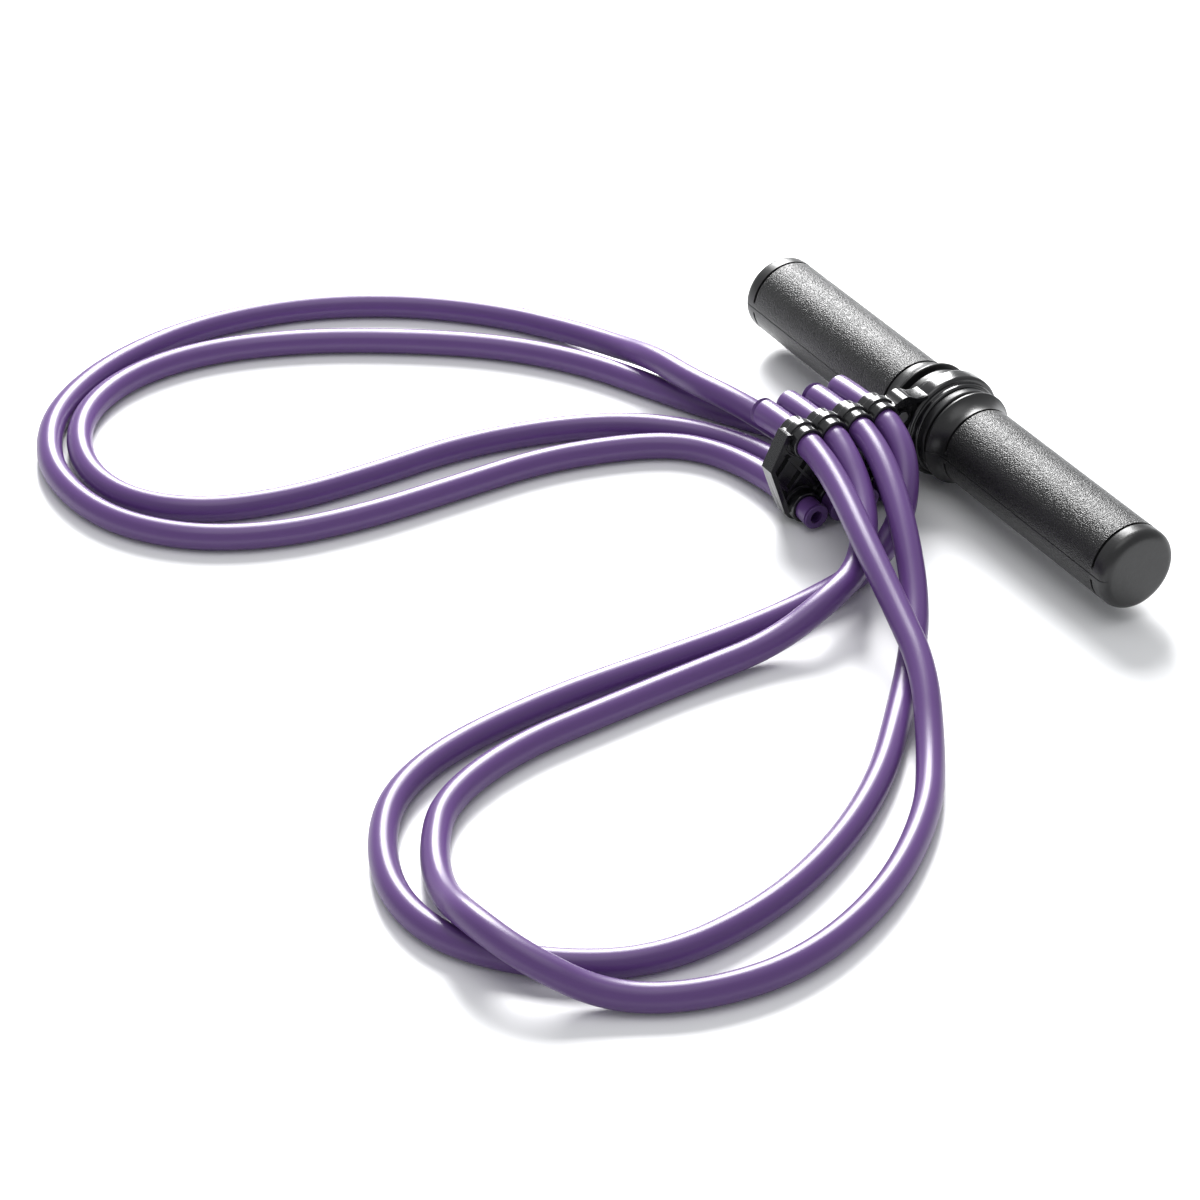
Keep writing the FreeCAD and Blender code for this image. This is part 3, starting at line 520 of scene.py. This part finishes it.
@dataclass
class GripShell:
    """Half shell of one grip: flared collar, pebbled grip between two grooves, and a closed end."""

    side: Side
    half: Half
    axis: SwivelAxis = field(default_factory=SwivelAxis)
    core_radius: float = 12.5 * MM
    core_end: float = 116.5 * MM
    radius: float = 16.0 * MM
    end: float = 121.0 * MM
    end_rounding: float = 3.6 * MM
    collar_radius: float = 19.0 * MM
    collar_start: float = 12.2 * MM
    collar_land: float = 1.0 * MM
    collar_end: float = 20.4 * MM
    collar_flare: float = 9.5 * MM
    groove_width: float = 1.3 * MM
    groove_depth: float = 1.0 * MM
    groove_sweep: float = 162.0
    groove_step: float = 0.06 * MM
    groove_shift: float = 0.1 * MM
    end_groove: float = 112.6 * MM
    joint_edge: float = 0.3 * MM
    crown: float = 0.12 * MM

    @property
    def node(self) -> str:
        """Name of the node that the shell stands for."""
        return f"grip_shell_{self.side.word}_{self.half.word}"

    def outside(self) -> np.ndarray:
        """Outer outline from the collar's inner face to the middle of the end face.

        The collar's flare is an arc through its two ends, hollow outwards; the end's edge is a
        quarter circle, and the end face is crowned by a small parabola.
        """
        collar = rounded_outline([(self.core_radius, self.collar_start, 0.0),
                                  (self.collar_radius, self.collar_start, 0.45 * MM),
                                  (self.collar_radius, self.collar_start + self.collar_land, 0.0)])
        top = np.array([self.collar_radius, self.collar_start + self.collar_land])
        foot = np.array([self.radius, self.collar_end])
        chord = foot - top
        length = float(np.linalg.norm(chord))
        inward = np.array([-chord[1], chord[0]]) / length
        share = np.linspace(-1.0, 1.0, 15)[1:]
        reach = np.sqrt(self.collar_flare ** 2 - (share * length / 2.0) ** 2)
        reach -= math.sqrt(self.collar_flare ** 2 - (length / 2.0) ** 2)
        flare = ((top + foot)[None, :] / 2.0 + share[:, None] * chord[None, :] / 2.0
                 + reach[:, None] * inward[None, :])
        grooves = [self.groove_rows(start) for start in (self.collar_end, self.end_groove)]
        clear = 2.0 * MM
        plain = np.linspace(self.collar_end + clear, self.end_groove - clear, 40)
        grip = np.stack([np.full_like(plain, self.radius), plain], axis=1)
        turn = np.linspace(0.0, math.pi / 2.0, 9)
        land = np.array([[self.radius, self.end - self.crown]]) - self.end_rounding
        edge = land + self.end_rounding * np.stack([np.cos(turn), np.sin(turn)], axis=1)
        flat = np.linspace(1.0, 0.0, 7)[1:]
        face = np.stack([(self.radius - self.end_rounding) * flat, self.end - self.crown * flat ** 2], axis=1)
        return np.concatenate([collar, flare, grooves[0], grip, grooves[1], edge, face])

    def groove_rows(self, start: float) -> np.ndarray:
        """Outline points close enough together to cut a sharp groove that starts at start."""
        gap = self.groove_step
        first = start + self.groove_shift
        along = np.array([first - gap, first, first + gap,
                          start + self.groove_width / 2.0, start + self.groove_width - gap,
                          start + self.groove_width, start + self.groove_width + gap])
        return np.stack([np.full_like(along, self.radius), along], axis=1)

    def build(self) -> bpy.types.Object:
        """The shell's closed surface.

        Radius is the outline's radius, less the groove's depth where the row lies in a groove and the
        angle in its sweep, less a small bevel that grows towards the joint's two edges.
        """
        outside = self.outside()
        inside = np.array([[0.0, self.core_end], [self.core_radius, self.core_end]])
        outline = np.concatenate([outside, inside])
        edge = self.joint_edge / self.radius
        angles = np.concatenate([[0.0, edge * 0.35, edge], np.linspace(0.0, math.pi, 97)[1:-1],
                                 [math.pi - edge, math.pi - edge * 0.35, math.pi]])
        points = self.axis.lathe(outline, angles, self.side.value, self.half.value)
        radius = np.repeat(outline[:, 0][:, None], len(angles), axis=1)
        from_joint = np.minimum(angles, math.pi - angles)[None, :]
        bevel = self.joint_edge * 0.7 * np.clip(1.0 - from_joint / edge, 0.0, 1.0) ** 1.5
        limit = math.radians((180.0 - self.groove_sweep) / 2.0)
        cut = np.zeros_like(radius)
        for start in (self.collar_end, self.end_groove):
            within = ((outline[:, 1] > start + self.groove_shift + 0.01 * MM)
                      & (outline[:, 1] < start + self.groove_width - 0.01 * MM))
            cut += self.groove_depth * within[:, None] * np.clip((from_joint - limit) / 0.02, 0.0, 1.0)
        outer = (np.arange(len(outline)) < len(outside))[:, None] & (radius > self.core_radius + 0.1 * MM)
        shrunk = np.where(outer, radius - cut - bevel, radius)
        scale = np.divide(shrunk, radius, out=np.ones_like(radius), where=radius > 0.0)
        points[:, :, 0] = self.axis.x + (points[:, :, 0] - self.axis.x) * scale
        points[:, :, 2] = self.axis.z + (points[:, :, 2] - self.axis.z) * scale
        rows, columns = points.shape[:2]
        grid = Grid(points, close_rows=True)
        faces = list(grid.quads())
        faces.append([row * columns for row in range(rows)])
        faces.append([row * columns + columns - 1 for row in range(rows)][::-1])
        return make_object(self.node + "_shell", points, faces)

    def dress(self, shell: bpy.types.Object) -> None:
        """Pebbled finish between the grooves and smooth finish on the collar and the end."""
        for finish in (GRIP, GRIP_SMOOTH):
            shell.data.materials.append(finish.material())
        count = len(shell.data.polygons)
        centres = np.empty(count * 3)
        shell.data.polygons.foreach_get("center", centres)
        along = np.abs(centres.reshape(-1, 3)[:, 1])
        grip = (along > self.collar_end + self.groove_width) & (along < self.end_groove + 0.2 * MM)
        shell.data.polygons.foreach_set("material_index", np.where(grip, 0, 1).astype(np.int32))

    def make(self) -> None:
        """Build and dress the shell and put it in its node's place."""
        shell = self.build()
        self.dress(shell)
        install(shell, Body.HANDLE, "grip_plastic", self.node)


@dataclass
class TurnedPart:
    """A ring turned from one rounded outline round the swivel axis."""

    node: str
    side: Side
    body: Body
    slot: str
    finish: Finish
    outline: list[Corner]
    axis: SwivelAxis = field(default_factory=SwivelAxis)

    def make(self) -> None:
        """Turn the outline through a full circle and put the ring in its node's place."""
        outline = rounded_outline(self.outline)
        angles = np.linspace(0.0, 2.0 * math.pi, 129)[:-1]
        points = self.axis.lathe(outline, angles, self.side.value)
        grid = Grid(points, close_rows=True, close_columns=True)
        ring = make_object(self.node + "_ring", points, list(grid.quads()))
        ring.data.materials.append(self.finish.material())
        install(ring, self.body, self.slot, self.node)


def install(piece: bpy.types.Object, body: Body, slot: str, *nodes: str) -> None:
    """Let a piece ride on its body and stand for its nodes, whose own meshes are hidden."""
    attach(piece, body.value)
    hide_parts(*nodes)
    LOG.info("%s stands for %s: %d faces", piece.name, ", ".join(nodes), len(piece.data.polygons))


@dataclass
class BarHandle:
    """The handle: four half shells, two thrust washers, the core tube and its screws."""

    core_radius: float = 12.5 * MM
    washer_radius: float = 15.0 * MM
    washer_start: float = 10.3 * MM
    washer_end: float = 12.2 * MM

    def make(self) -> None:
        """Build every piece of the handle."""
        for side in Side:
            for half in Half:
                GripShell(side, half).make()
            TurnedPart(f"thrust_washer_{side.word}", side, Body.HANDLE, "washer_plastic", WASHER, [
                (self.core_radius, self.washer_start, 0.0),
                (self.washer_radius, self.washer_start, 0.35 * MM),
                (self.washer_radius, self.washer_end, 0.35 * MM),
                (self.core_radius, self.washer_end, 0.0),
            ]).make()
        dress_node("core_tube", CORE)
        dress_node("shell_screws", SCREW)


def dress_node(node: str, finish: Finish) -> None:
    """Give a node that is kept as it is a better material."""
    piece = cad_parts[node]
    piece.data.materials.clear()
    piece.data.materials.append(finish.material())
    LOG.info("%s kept, finish %s", node, finish.name)


# --------------------------------------------------------------------------------------------------
# The bracket
# --------------------------------------------------------------------------------------------------


class Row(Enum):
    """The bracket's two rows of clips."""

    TOP = "top"
    BOTTOM = "bottom"


@dataclass
class ClipRow:
    """Where a tube passes through a clip: its cut end and two points in the clip, in millimetres."""

    row: Row
    first_x: float = -36.7
    pitch: float = 11.4

    def points(self, index: int) -> list[Point]:
        """The tube's first three points from its cut end; index 0 is the clip at the nose."""
        x = self.first_x + index * self.pitch
        if self.row is Row.TOP:
            return [(x - 0.5, 26.0, 33.2), (x, 9.0, 34.8), (x, -10.5, 34.8)]
        return [(x, -13.0, 6.7), (x, -3.0, 7.2), (x, 10.0, 7.2)]

    def exit(self, index: int) -> Point:
        """The middle of the clip, in metres."""
        x = self.first_x + index * self.pitch
        return (x * MM, 0.0, (34.8 if self.row is Row.TOP else 7.2) * MM)


@dataclass
class ClipBracket:
    """The bracket: two moulded halves with rounded edges, two bushes and three screws.

    The node of each half is copied with rounded edges, and its ring and clips are covered by a thin
    skin of finely turned surfaces, because the node's own round faces are made of few flats.
    """

    edge: float = 0.22 * MM
    edge_angle: float = 38.0
    bush_bore: float = 12.55 * MM
    bush_radius: float = 14.0 * MM
    step_reach: float = 6.5 * MM
    flange_radius: float = 18.0 * MM
    flange_reach: float = 10.0 * MM
    flange_edge: float = 0.8 * MM
    ring_radius: float = 21.0 * MM
    ring_reach: float = 3.8 * MM
    step_radius: float = 19.0 * MM
    clip_bore: float = 4.9 * MM
    barrel_radius: float = 6.2 * MM
    barrel_reach: float = 6.0 * MM
    ribbon_radius: float = 7.2 * MM
    ribbon_reach: float = 1.6 * MM
    skin: float = 0.03 * MM
    slack: float = 0.02 * MM
    tuck_depth: float = 0.3 * MM

    def ring_outline(self) -> list[Corner]:
        """The ring and its step, with well rounded edges."""
        skin = self.skin
        return [(self.bush_radius, 0.0, 0.0),
                (self.ring_radius + skin, 0.0, 0.0),
                (self.ring_radius + skin, self.ring_reach + skin, 1.5 * MM),
                (self.step_radius + skin, self.ring_reach + skin, 0.5 * MM),
                (self.step_radius + skin, self.step_reach, 1.0 * MM),
                (self.bush_radius, self.step_reach, 0.0)]

    def clip_outline(self) -> list[Corner]:
        """A clip's barrel with rolled mouth and the ribbon over it."""
        skin = self.skin
        return [(self.clip_bore - skin, 0.0, 0.0),
                (self.ribbon_radius + skin, 0.0, 0.0),
                (self.ribbon_radius + skin, self.ribbon_reach + skin, 0.45 * MM),
                (self.barrel_radius + skin, self.ribbon_reach + skin, 0.25 * MM),
                (self.barrel_radius + skin, self.barrel_reach + skin, 0.5 * MM),
                (self.clip_bore - skin, self.barrel_reach + skin, 0.35 * MM)]

    def turned_skins(self, side: Side) -> tuple[np.ndarray, np.ndarray]:
        """Points and faces of the round parts, turned finely: the ring and the half's eight clips."""
        axes = [(SwivelAxis(), self.ring_outline(), 192)]
        for row in Row:
            for index in range(CLIPS):
                x, _, z = ClipRow(row).exit(index)
                axes.append((SwivelAxis(x, z), self.clip_outline(), 72))
        points, faces, count = [], [], 0
        for axis, corners, around in axes:
            angles = np.linspace(0.0, 2.0 * math.pi, around, endpoint=False)
            grid = Grid(axis.lathe(rounded_outline(corners, 6), angles, side.value), True, True)
            points.append(grid.points.reshape(-1, 3))
            faces.append(grid.quads() + count)
            count += len(points[-1])
        return np.concatenate(points), np.concatenate(faces)

    def tuck(self, mesh: bpy.types.Mesh) -> None:
        """Draw the node's own coarse round surfaces a little inwards, under the turned ones.

        Points whose distance from a turned part's axis lies in a band move towards that axis by a fixed
        depth, and those near the band's face move towards the mid-plane by the same depth.
        """
        points = np.empty(len(mesh.vertices) * 3)
        mesh.vertices.foreach_get("co", points)
        points = points.reshape(-1, 3)
        centres = [(ClipRow(row).exit(index), self.clip_bands) for row in Row for index in range(CLIPS)]
        swivel = SwivelAxis()
        for (x, _, z), bands in centres + [((swivel.x, 0.0, swivel.z), self.ring_bands)]:
            offset = points[:, [0, 2]] - np.array([x, z])
            radius = np.linalg.norm(offset, axis=1)
            reach = np.abs(points[:, 1])
            for low, high, face, past in bands:
                chosen = ((radius > low) & (radius < high + self.slack)
                          & (reach > past) & (reach < face + self.slack))
                shrink = np.where(chosen, 1.0 - self.tuck_depth / radius, 1.0)
                points[:, 0] = x + (points[:, 0] - x) * shrink
                points[:, 2] = z + (points[:, 2] - z) * shrink
                at_face = chosen & (reach > face - 0.8 * MM)
                points[:, 1] -= np.where(at_face, np.sign(points[:, 1]) * self.tuck_depth, 0.0)
        mesh.vertices.foreach_set("co", points.ravel())

    @property
    def clip_bands(self) -> list[tuple[float, float, float, float]]:
        """A clip's round surfaces: radii from and to, its face's reach, and the reach they start past."""
        return [(self.barrel_radius - self.slack, self.barrel_radius, self.barrel_reach, 1.0 * MM),
                (self.ribbon_radius - self.slack, self.ribbon_radius, self.ribbon_reach, -1.0)]

    @property
    def ring_bands(self) -> list[tuple[float, float, float, float]]:
        """The ring's and its step's round surfaces, in the same order."""
        return [(self.ring_radius - 1.35 * MM, self.ring_radius, self.ring_reach, -1.0),
                (self.step_radius - 0.75 * MM, self.step_radius, self.step_reach,
                 self.ring_reach + self.slack)]

    def half(self, side: Side) -> None:
        """One half of the bracket: its node with rounded edges, under finely turned round parts."""
        node = f"bracket_{side.word}"
        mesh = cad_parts[node].data.copy()
        work = bmesh.new()
        work.from_mesh(mesh)
        bmesh.ops.remove_doubles(work, verts=work.verts, dist=2e-6)
        bmesh.ops.dissolve_limit(work, angle_limit=math.radians(0.6), verts=work.verts, edges=work.edges)
        work.to_mesh(mesh)
        work.free()
        self.tuck(mesh)
        mesh.materials.clear()
        piece = finish_mesh(node + "_moulding", mesh, 30.0)
        piece.data.materials.append(BRACKET.material())
        bevel = piece.modifiers.new("edges", "BEVEL")
        bevel.width = self.edge
        bevel.segments = 2
        bevel.limit_method = "ANGLE"
        bevel.angle_limit = math.radians(self.edge_angle)
        install(piece, Body.BRACKET, "bracket_plastic", node)
        points, faces = self.turned_skins(side)
        skins = make_object(node + "_round_parts", points, list(faces), smooth_angle=40.0)
        skins.data.materials.append(BRACKET.material())
        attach(skins, Body.BRACKET.value)

    def bush(self, side: Side) -> None:
        """A flanged bush turned from its outline."""
        TurnedPart(f"swivel_bush_{side.word}", side, Body.BRACKET, "bush_plastic", BUSH, [
            (self.bush_bore, 0.0, 0.0),
            (self.bush_radius, 0.0, 0.0),
            (self.bush_radius, self.step_reach, 0.0),
            (self.flange_radius, self.step_reach, 0.2 * MM),
            (self.flange_radius, self.flange_reach, self.flange_edge),
            (self.bush_bore, self.flange_reach, 0.25 * MM),
        ]).make()

    def make(self) -> None:
        """Build every piece of the bracket."""
        for side in Side:
            self.half(side)
            self.bush(side)
        dress_node("bracket_screws", SCREW)


# --------------------------------------------------------------------------------------------------
# The elastic tubes
# --------------------------------------------------------------------------------------------------


@dataclass
class ElasticTube:
    """One hollow elastic tube, both ends in one row of clips, lying on the floor as a loop."""

    node: str
    row: Row
    clips: tuple[int, int]
    route: list[Point]
    length: float
    diameter: float = 10.0 * MM
    bore: float = 5.0 * MM
    around: int = 32
    squeeze: float = 0.14 * MM
    bulge: float = 0.16 * MM
    clip_reach: float = 6.0 * MM
    lip: float = 0.35 * MM
    flare: float = 0.42 * MM
    flare_run: float = 14.0 * MM

    def control_points(self) -> np.ndarray:
        """The route's points from cut end to cut end, in metres."""
        clips = ClipRow(self.row)
        points = clips.points(self.clips[0]) + self.route + clips.points(self.clips[1])[::-1]
        return np.array(points) * MM

    def centreline(self) -> np.ndarray:
        """Points read from the smooth spline that has the route's points as its control points."""
        points = self.control_points()
        curve = bpy.data.curves.new(self.node + "_line", "CURVE")
        curve.dimensions = "3D"
        spline = curve.splines.new("NURBS")
        spline.points.add(len(points) - 1)
        spline.points.foreach_set("co", np.c_[points, np.ones(len(points))].ravel())
        spline.order_u = 3
        spline.use_endpoint_u = True
        spline.resolution_u = 14
        holder = bpy.data.objects.new(self.node + "_line", curve)
        mesh = bpy.data.meshes.new_from_object(holder)
        line = np.empty(len(mesh.vertices) * 3)
        mesh.vertices.foreach_get("co", line)
        bpy.data.objects.remove(holder)
        bpy.data.meshes.remove(mesh)
        bpy.data.curves.remove(curve)
        return line.reshape(-1, 3)

    @staticmethod
    def frames(line: np.ndarray) -> tuple[np.ndarray, np.ndarray]:
        """Two directions across the line at every point, turned as little as possible.

        The first is the part of the world's up that is square to the line, which the nearly level
        line never meets; the second is square to both.
        """
        tangent = np.gradient(line, axis=0)
        tangent /= np.linalg.norm(tangent, axis=1)[:, None]
        up = np.array([0.0, 0.0, 1.0])[None, :] - tangent[:, 2][:, None] * tangent
        up /= np.linalg.norm(up, axis=1)[:, None]
        return up, np.cross(tangent, up)

    def radii(self, line: np.ndarray, along: np.ndarray) -> np.ndarray:
        """Outer radius: half the diameter, less the clip's squeeze, plus a bulge just outside a clip.

        A stub is a little thinner at its clip and widens evenly towards its cut end.
        """
        near_end = np.minimum(along, along[-1] - along) < 45.0 * MM
        from_clip = np.abs(line[:, 1])
        inside = 1.0 / (1.0 + np.exp((from_clip - self.clip_reach) / (0.35 * MM)))
        beside = np.exp(-((from_clip - self.clip_reach - 2.2 * MM) / (1.6 * MM)) ** 2)
        stub = near_end & (line[:, 1] * np.sign(line[0, 1]) > self.clip_reach)
        widening = np.clip((from_clip - self.clip_reach) / self.flare_run, 0.0, 1.0) - 0.25
        pinched = near_end * (self.bulge * beside * ~stub - self.squeeze * inside)
        return self.diameter / 2.0 + pinched + stub * self.flare * widening

    def build(self) -> tuple[bpy.types.Object, np.ndarray]:
        """The tube's wall as one closed surface, and the line it follows.

        The wall's section runs outside from end to end, over a rounded lip, back through the bore and
        over the other lip; each station is a circle across the line.

        Returns:
            The tube's object and the points of its centreline.
        """
        line = self.centreline()
        step = np.linalg.norm(np.diff(line, axis=0), axis=1)
        line = line[np.r_[True, step > 1e-6]]
        along = np.r_[0.0, np.cumsum(np.linalg.norm(np.diff(line, axis=0), axis=1))]
        up, across = self.frames(line)
        outer, inner = self.radii(line, along), np.full(len(line), self.bore / 2.0)
        last = len(line) - 1
        body = np.arange(1, last)
        turn = np.linspace(0.0, math.pi / 2.0, 5)
        stations = [(body, outer[body], np.zeros(len(body)))]
        for end, sense in ((last, 1.0), (0, -1.0)):
            edge = (np.full(5, end), outer[end] - self.lip * (1.0 - np.cos(turn)),
                    sense * self.lip * (np.sin(turn) - 1.0))
            hole = (np.full(5, end), inner[end] + self.lip * (1.0 - np.sin(turn)),
                    sense * self.lip * (np.cos(turn) - 1.0))
            stations += [edge, hole]
            if end == last:
                stations.append((body[::-1], inner[body], np.zeros(len(body))))
        index = np.concatenate([station[0] for station in stations])
        radius = np.concatenate([station[1] for station in stations])
        ahead = np.concatenate([station[2] for station in stations])
        tangent = np.cross(up, across)[index]
        angles = np.linspace(0.0, 2.0 * math.pi, self.around, endpoint=False)
        ring = (up[index][:, None, :] * np.cos(angles)[None, :, None]
                + across[index][:, None, :] * np.sin(angles)[None, :, None])
        points = (line[index] + tangent * ahead[:, None])[:, None, :] + ring * radius[:, None, None]
        grid = Grid(points, close_rows=True, close_columns=True)
        tube = self.mesh(grid, along[index] + ahead)
        return tube, line

    def mesh(self, grid: Grid, along: np.ndarray) -> bpy.types.Object:
        """The grid as a mesh with a map named along: once round in x, metres along the tube in y."""
        faces = grid.quads()
        tube = make_object(self.node + "_wall", grid.points, list(faces), smooth_angle=50.0)
        rows, columns = grid.points.shape[:2]
        layer = tube.data.uv_layers.new(name="along")
        corner = np.empty(len(tube.data.loops), dtype=np.int32)
        tube.data.loops.foreach_get("vertex_index", corner)
        row, column = corner // columns, corner % columns
        by_face = column.reshape(-1, 4)
        wraps = (by_face.max(axis=1) - by_face.min(axis=1)) > columns / 2
        turned = np.where(wraps[:, None] & (by_face == 0), columns, by_face) / columns
        layer.data.foreach_set("uv", np.stack([turned.ravel(), along[row]], axis=1).ravel())
        return tube

    def make(self) -> None:
        tube, line = self.build()
        tube.data.materials.append(LATEX.material())
        install(tube, Body.BRACKET, "tube_rubber", self.node)


# The tubes' routes between their clips, in millimetres, as the solid model has them.
NEAR_OUTER = [
    (-41, -34, 32), (-50, -65, 27.5), (-58, -97, 21), (-66, -126, 15.8), (-83, -156, 5.6),
    (-104, -185, 5), (-140, -214, 5), (-181, -230, 5), (-217, -228, 5), (-244, -214, 5),
    (-263, -195, 15.2), (-270, -170, 17.8), (-266, -144, 8.4), (-256, -119, 5), (-240, -97, 5),
    (-206, -83, 5), (-164, -79, 5), (-128, -76, 5), (-96, -76, 7), (-70, -73, 16), (-49, -61, 16.6),
    (-32, -38, 24),
]
NEAR_INNER = [
    (-19, -32, 31.5), (-28, -57, 24), (-41, -85, 11.5), (-57, -106, 5), (-80, -132, 5), (-108, -162, 5),
    (-142, -186, 5), (-180, -202, 5), (-222, -206, 5), (-254, -189, 5), (-275, -163, 5),
    (-279, -136, 5), (-270, -108, 5), (-253, -85, 5), (-225, -71, 5), (-181, -64, 5), (-138, -63, 5),
    (-101, -62, 5), (-68, -58, 5), (-38, -50, 5), (-17.5, -41, 14), (-6.5, -27, 27.5),
]
FAR_OUTER = [
    (-37.7, 28, 6), (-42.2, 46, 5), (-53, 60.5, 5), (-73, 70, 5), (-105, 77, 5), (-142, 76, 5),
    (-181, 75, 5), (-217, 80, 5), (-247, 96, 5), (-267, 124, 5), (-271, 161, 5), (-260, 192, 5),
    (-240, 214, 5), (-211, 230, 5), (-172, 238, 5), (-130, 232, 5), (-94, 214, 5), (-64, 187, 5),
    (-45, 158, 5.5), (-37, 131, 9), (-36, 106, 16), (-34, 82, 17.4), (-27, 59, 17), (-18, 37, 11.8),
]
FAR_INNER = [
    (-26.6, 28, 5.5), (-31.5, 48, 5), (-43, 67, 5), (-64, 85, 5), (-92, 96, 5), (-127, 102, 5),
    (-164, 100, 5), (-201, 100, 5), (-233, 109, 5), (-254, 130, 5), (-259, 160, 5), (-247, 193, 5),
    (-220, 214, 5), (-184, 219, 5), (-145, 208, 5), (-108, 187, 5), (-75, 162, 5), (-52, 133, 5),
    (-38, 102, 5), (-26, 76, 5), (-12, 52, 5), (-4, 29, 6),
]


def elastic_tubes() -> list[ElasticTube]:
    """The four tubes, with their real lengths in metres."""
    return [
        ElasticTube("tube_near_outer", Row.TOP, (0, 1), NEAR_OUTER, 0.815),
        ElasticTube("tube_near_inner", Row.TOP, (2, 3), NEAR_INNER, 0.822),
        ElasticTube("tube_far_outer", Row.BOTTOM, (0, 2), FAR_OUTER, 0.816),
        ElasticTube("tube_far_inner", Row.BOTTOM, (1, 3), FAR_INNER, 0.762),
    ]


# --------------------------------------------------------------------------------------------------
# The studio
# --------------------------------------------------------------------------------------------------


@dataclass
class SoftBox:
    """A rectangular lamp that looks at a point."""

    name: str
    place: Point
    target: Point
    size: tuple[float, float]
    power: float
    colour: Colour = (1.0, 1.0, 1.0)

    def make(self) -> None:
        """Add the lamp to the scene."""
        lamp = bpy.data.lights.new(self.name, "AREA")
        lamp.shape = "RECTANGLE"
        lamp.size, lamp.size_y = self.size
        lamp.energy = self.power
        lamp.color = self.colour
        holder = bpy.data.objects.new(self.name, lamp)
        bpy.context.scene.collection.objects.link(holder)
        holder.location = self.place
        away = np.array(self.place) - np.array(self.target)
        across = math.hypot(away[0], away[1])
        holder.rotation_euler = (math.atan2(across, away[2]), 0.0, math.atan2(away[0], -away[1]))


@dataclass
class Studio:
    """A plain pale floor, soft light and the camera."""

    camera_place: Point = (-0.6938, -0.9807, 0.7446)
    camera_tilt: float = 56.41
    camera_turn: float = -30.2
    lens: float = 110.7
    floor_half: float = 4.0
    sky: float = 0.55

    def floor(self) -> None:
        """A wide pale sheet with a faint gloss."""
        half = self.floor_half
        corners = np.array([[-half, -half, 0.0], [half, -half, 0.0], [half, half, 0.0], [-half, half, 0.0]])
        sheet = make_object("floor", corners, [[0, 1, 2, 3]])
        finish = MouldedPlastic("floor_white", (0.86, 0.865, 0.875), roughness=(0.3, 0.36), patch=0.5,
                                shade=(0.995, 1.005), specular=0.3)
        sheet.data.materials.append(finish.material())

    def lights(self) -> None:
        """A large softbox behind and above, a fill from the left and a bright even sky."""
        SoftBox("back_strip", (0.60, 1.35, 1.10), (0.0, 0.0, 0.0), (0.8, 1.2), 76.0).make()
        SoftBox("top_box", (-0.35, -0.15, 1.9), (-0.1, 0.0, 0.0), (1.4, 1.4), 10.0).make()
        world = bpy.data.worlds.new("sky")
        world.use_nodes = True
        background = world.node_tree.nodes["Background"]
        background.inputs["Color"].default_value = (0.97, 0.985, 1.0, 1.0)
        background.inputs["Strength"].default_value = self.sky
        bpy.context.scene.world = world
        bpy.context.scene.view_settings.view_transform = "Standard"

    def camera(self) -> None:
        """The camera, with no depth of field."""
        data = bpy.data.cameras.new("camera")
        data.lens = self.lens
        data.sensor_width = 36.0
        data.clip_start = 0.05
        data.clip_end = 30.0
        holder = bpy.data.objects.new("camera", data)
        bpy.context.scene.collection.objects.link(holder)
        holder.location = self.camera_place
        holder.rotation_euler = (math.radians(self.camera_tilt), 0.0, math.radians(self.camera_turn))
        bpy.context.scene.camera = holder

    def make(self) -> None:
        """Set the studio up."""
        self.floor()
        self.lights()
        self.camera()


def main() -> None:
    """Build the studio and every piece; the pieces that stand for nodes log their faces."""
    logging.basicConfig(level=logging.INFO, format="%(name)s: %(message)s")
    Studio().make()
    for tube in elastic_tubes():
        tube.make()
    BarHandle().make()
    ClipBracket().make()


if __name__ == "__main__":
    main()
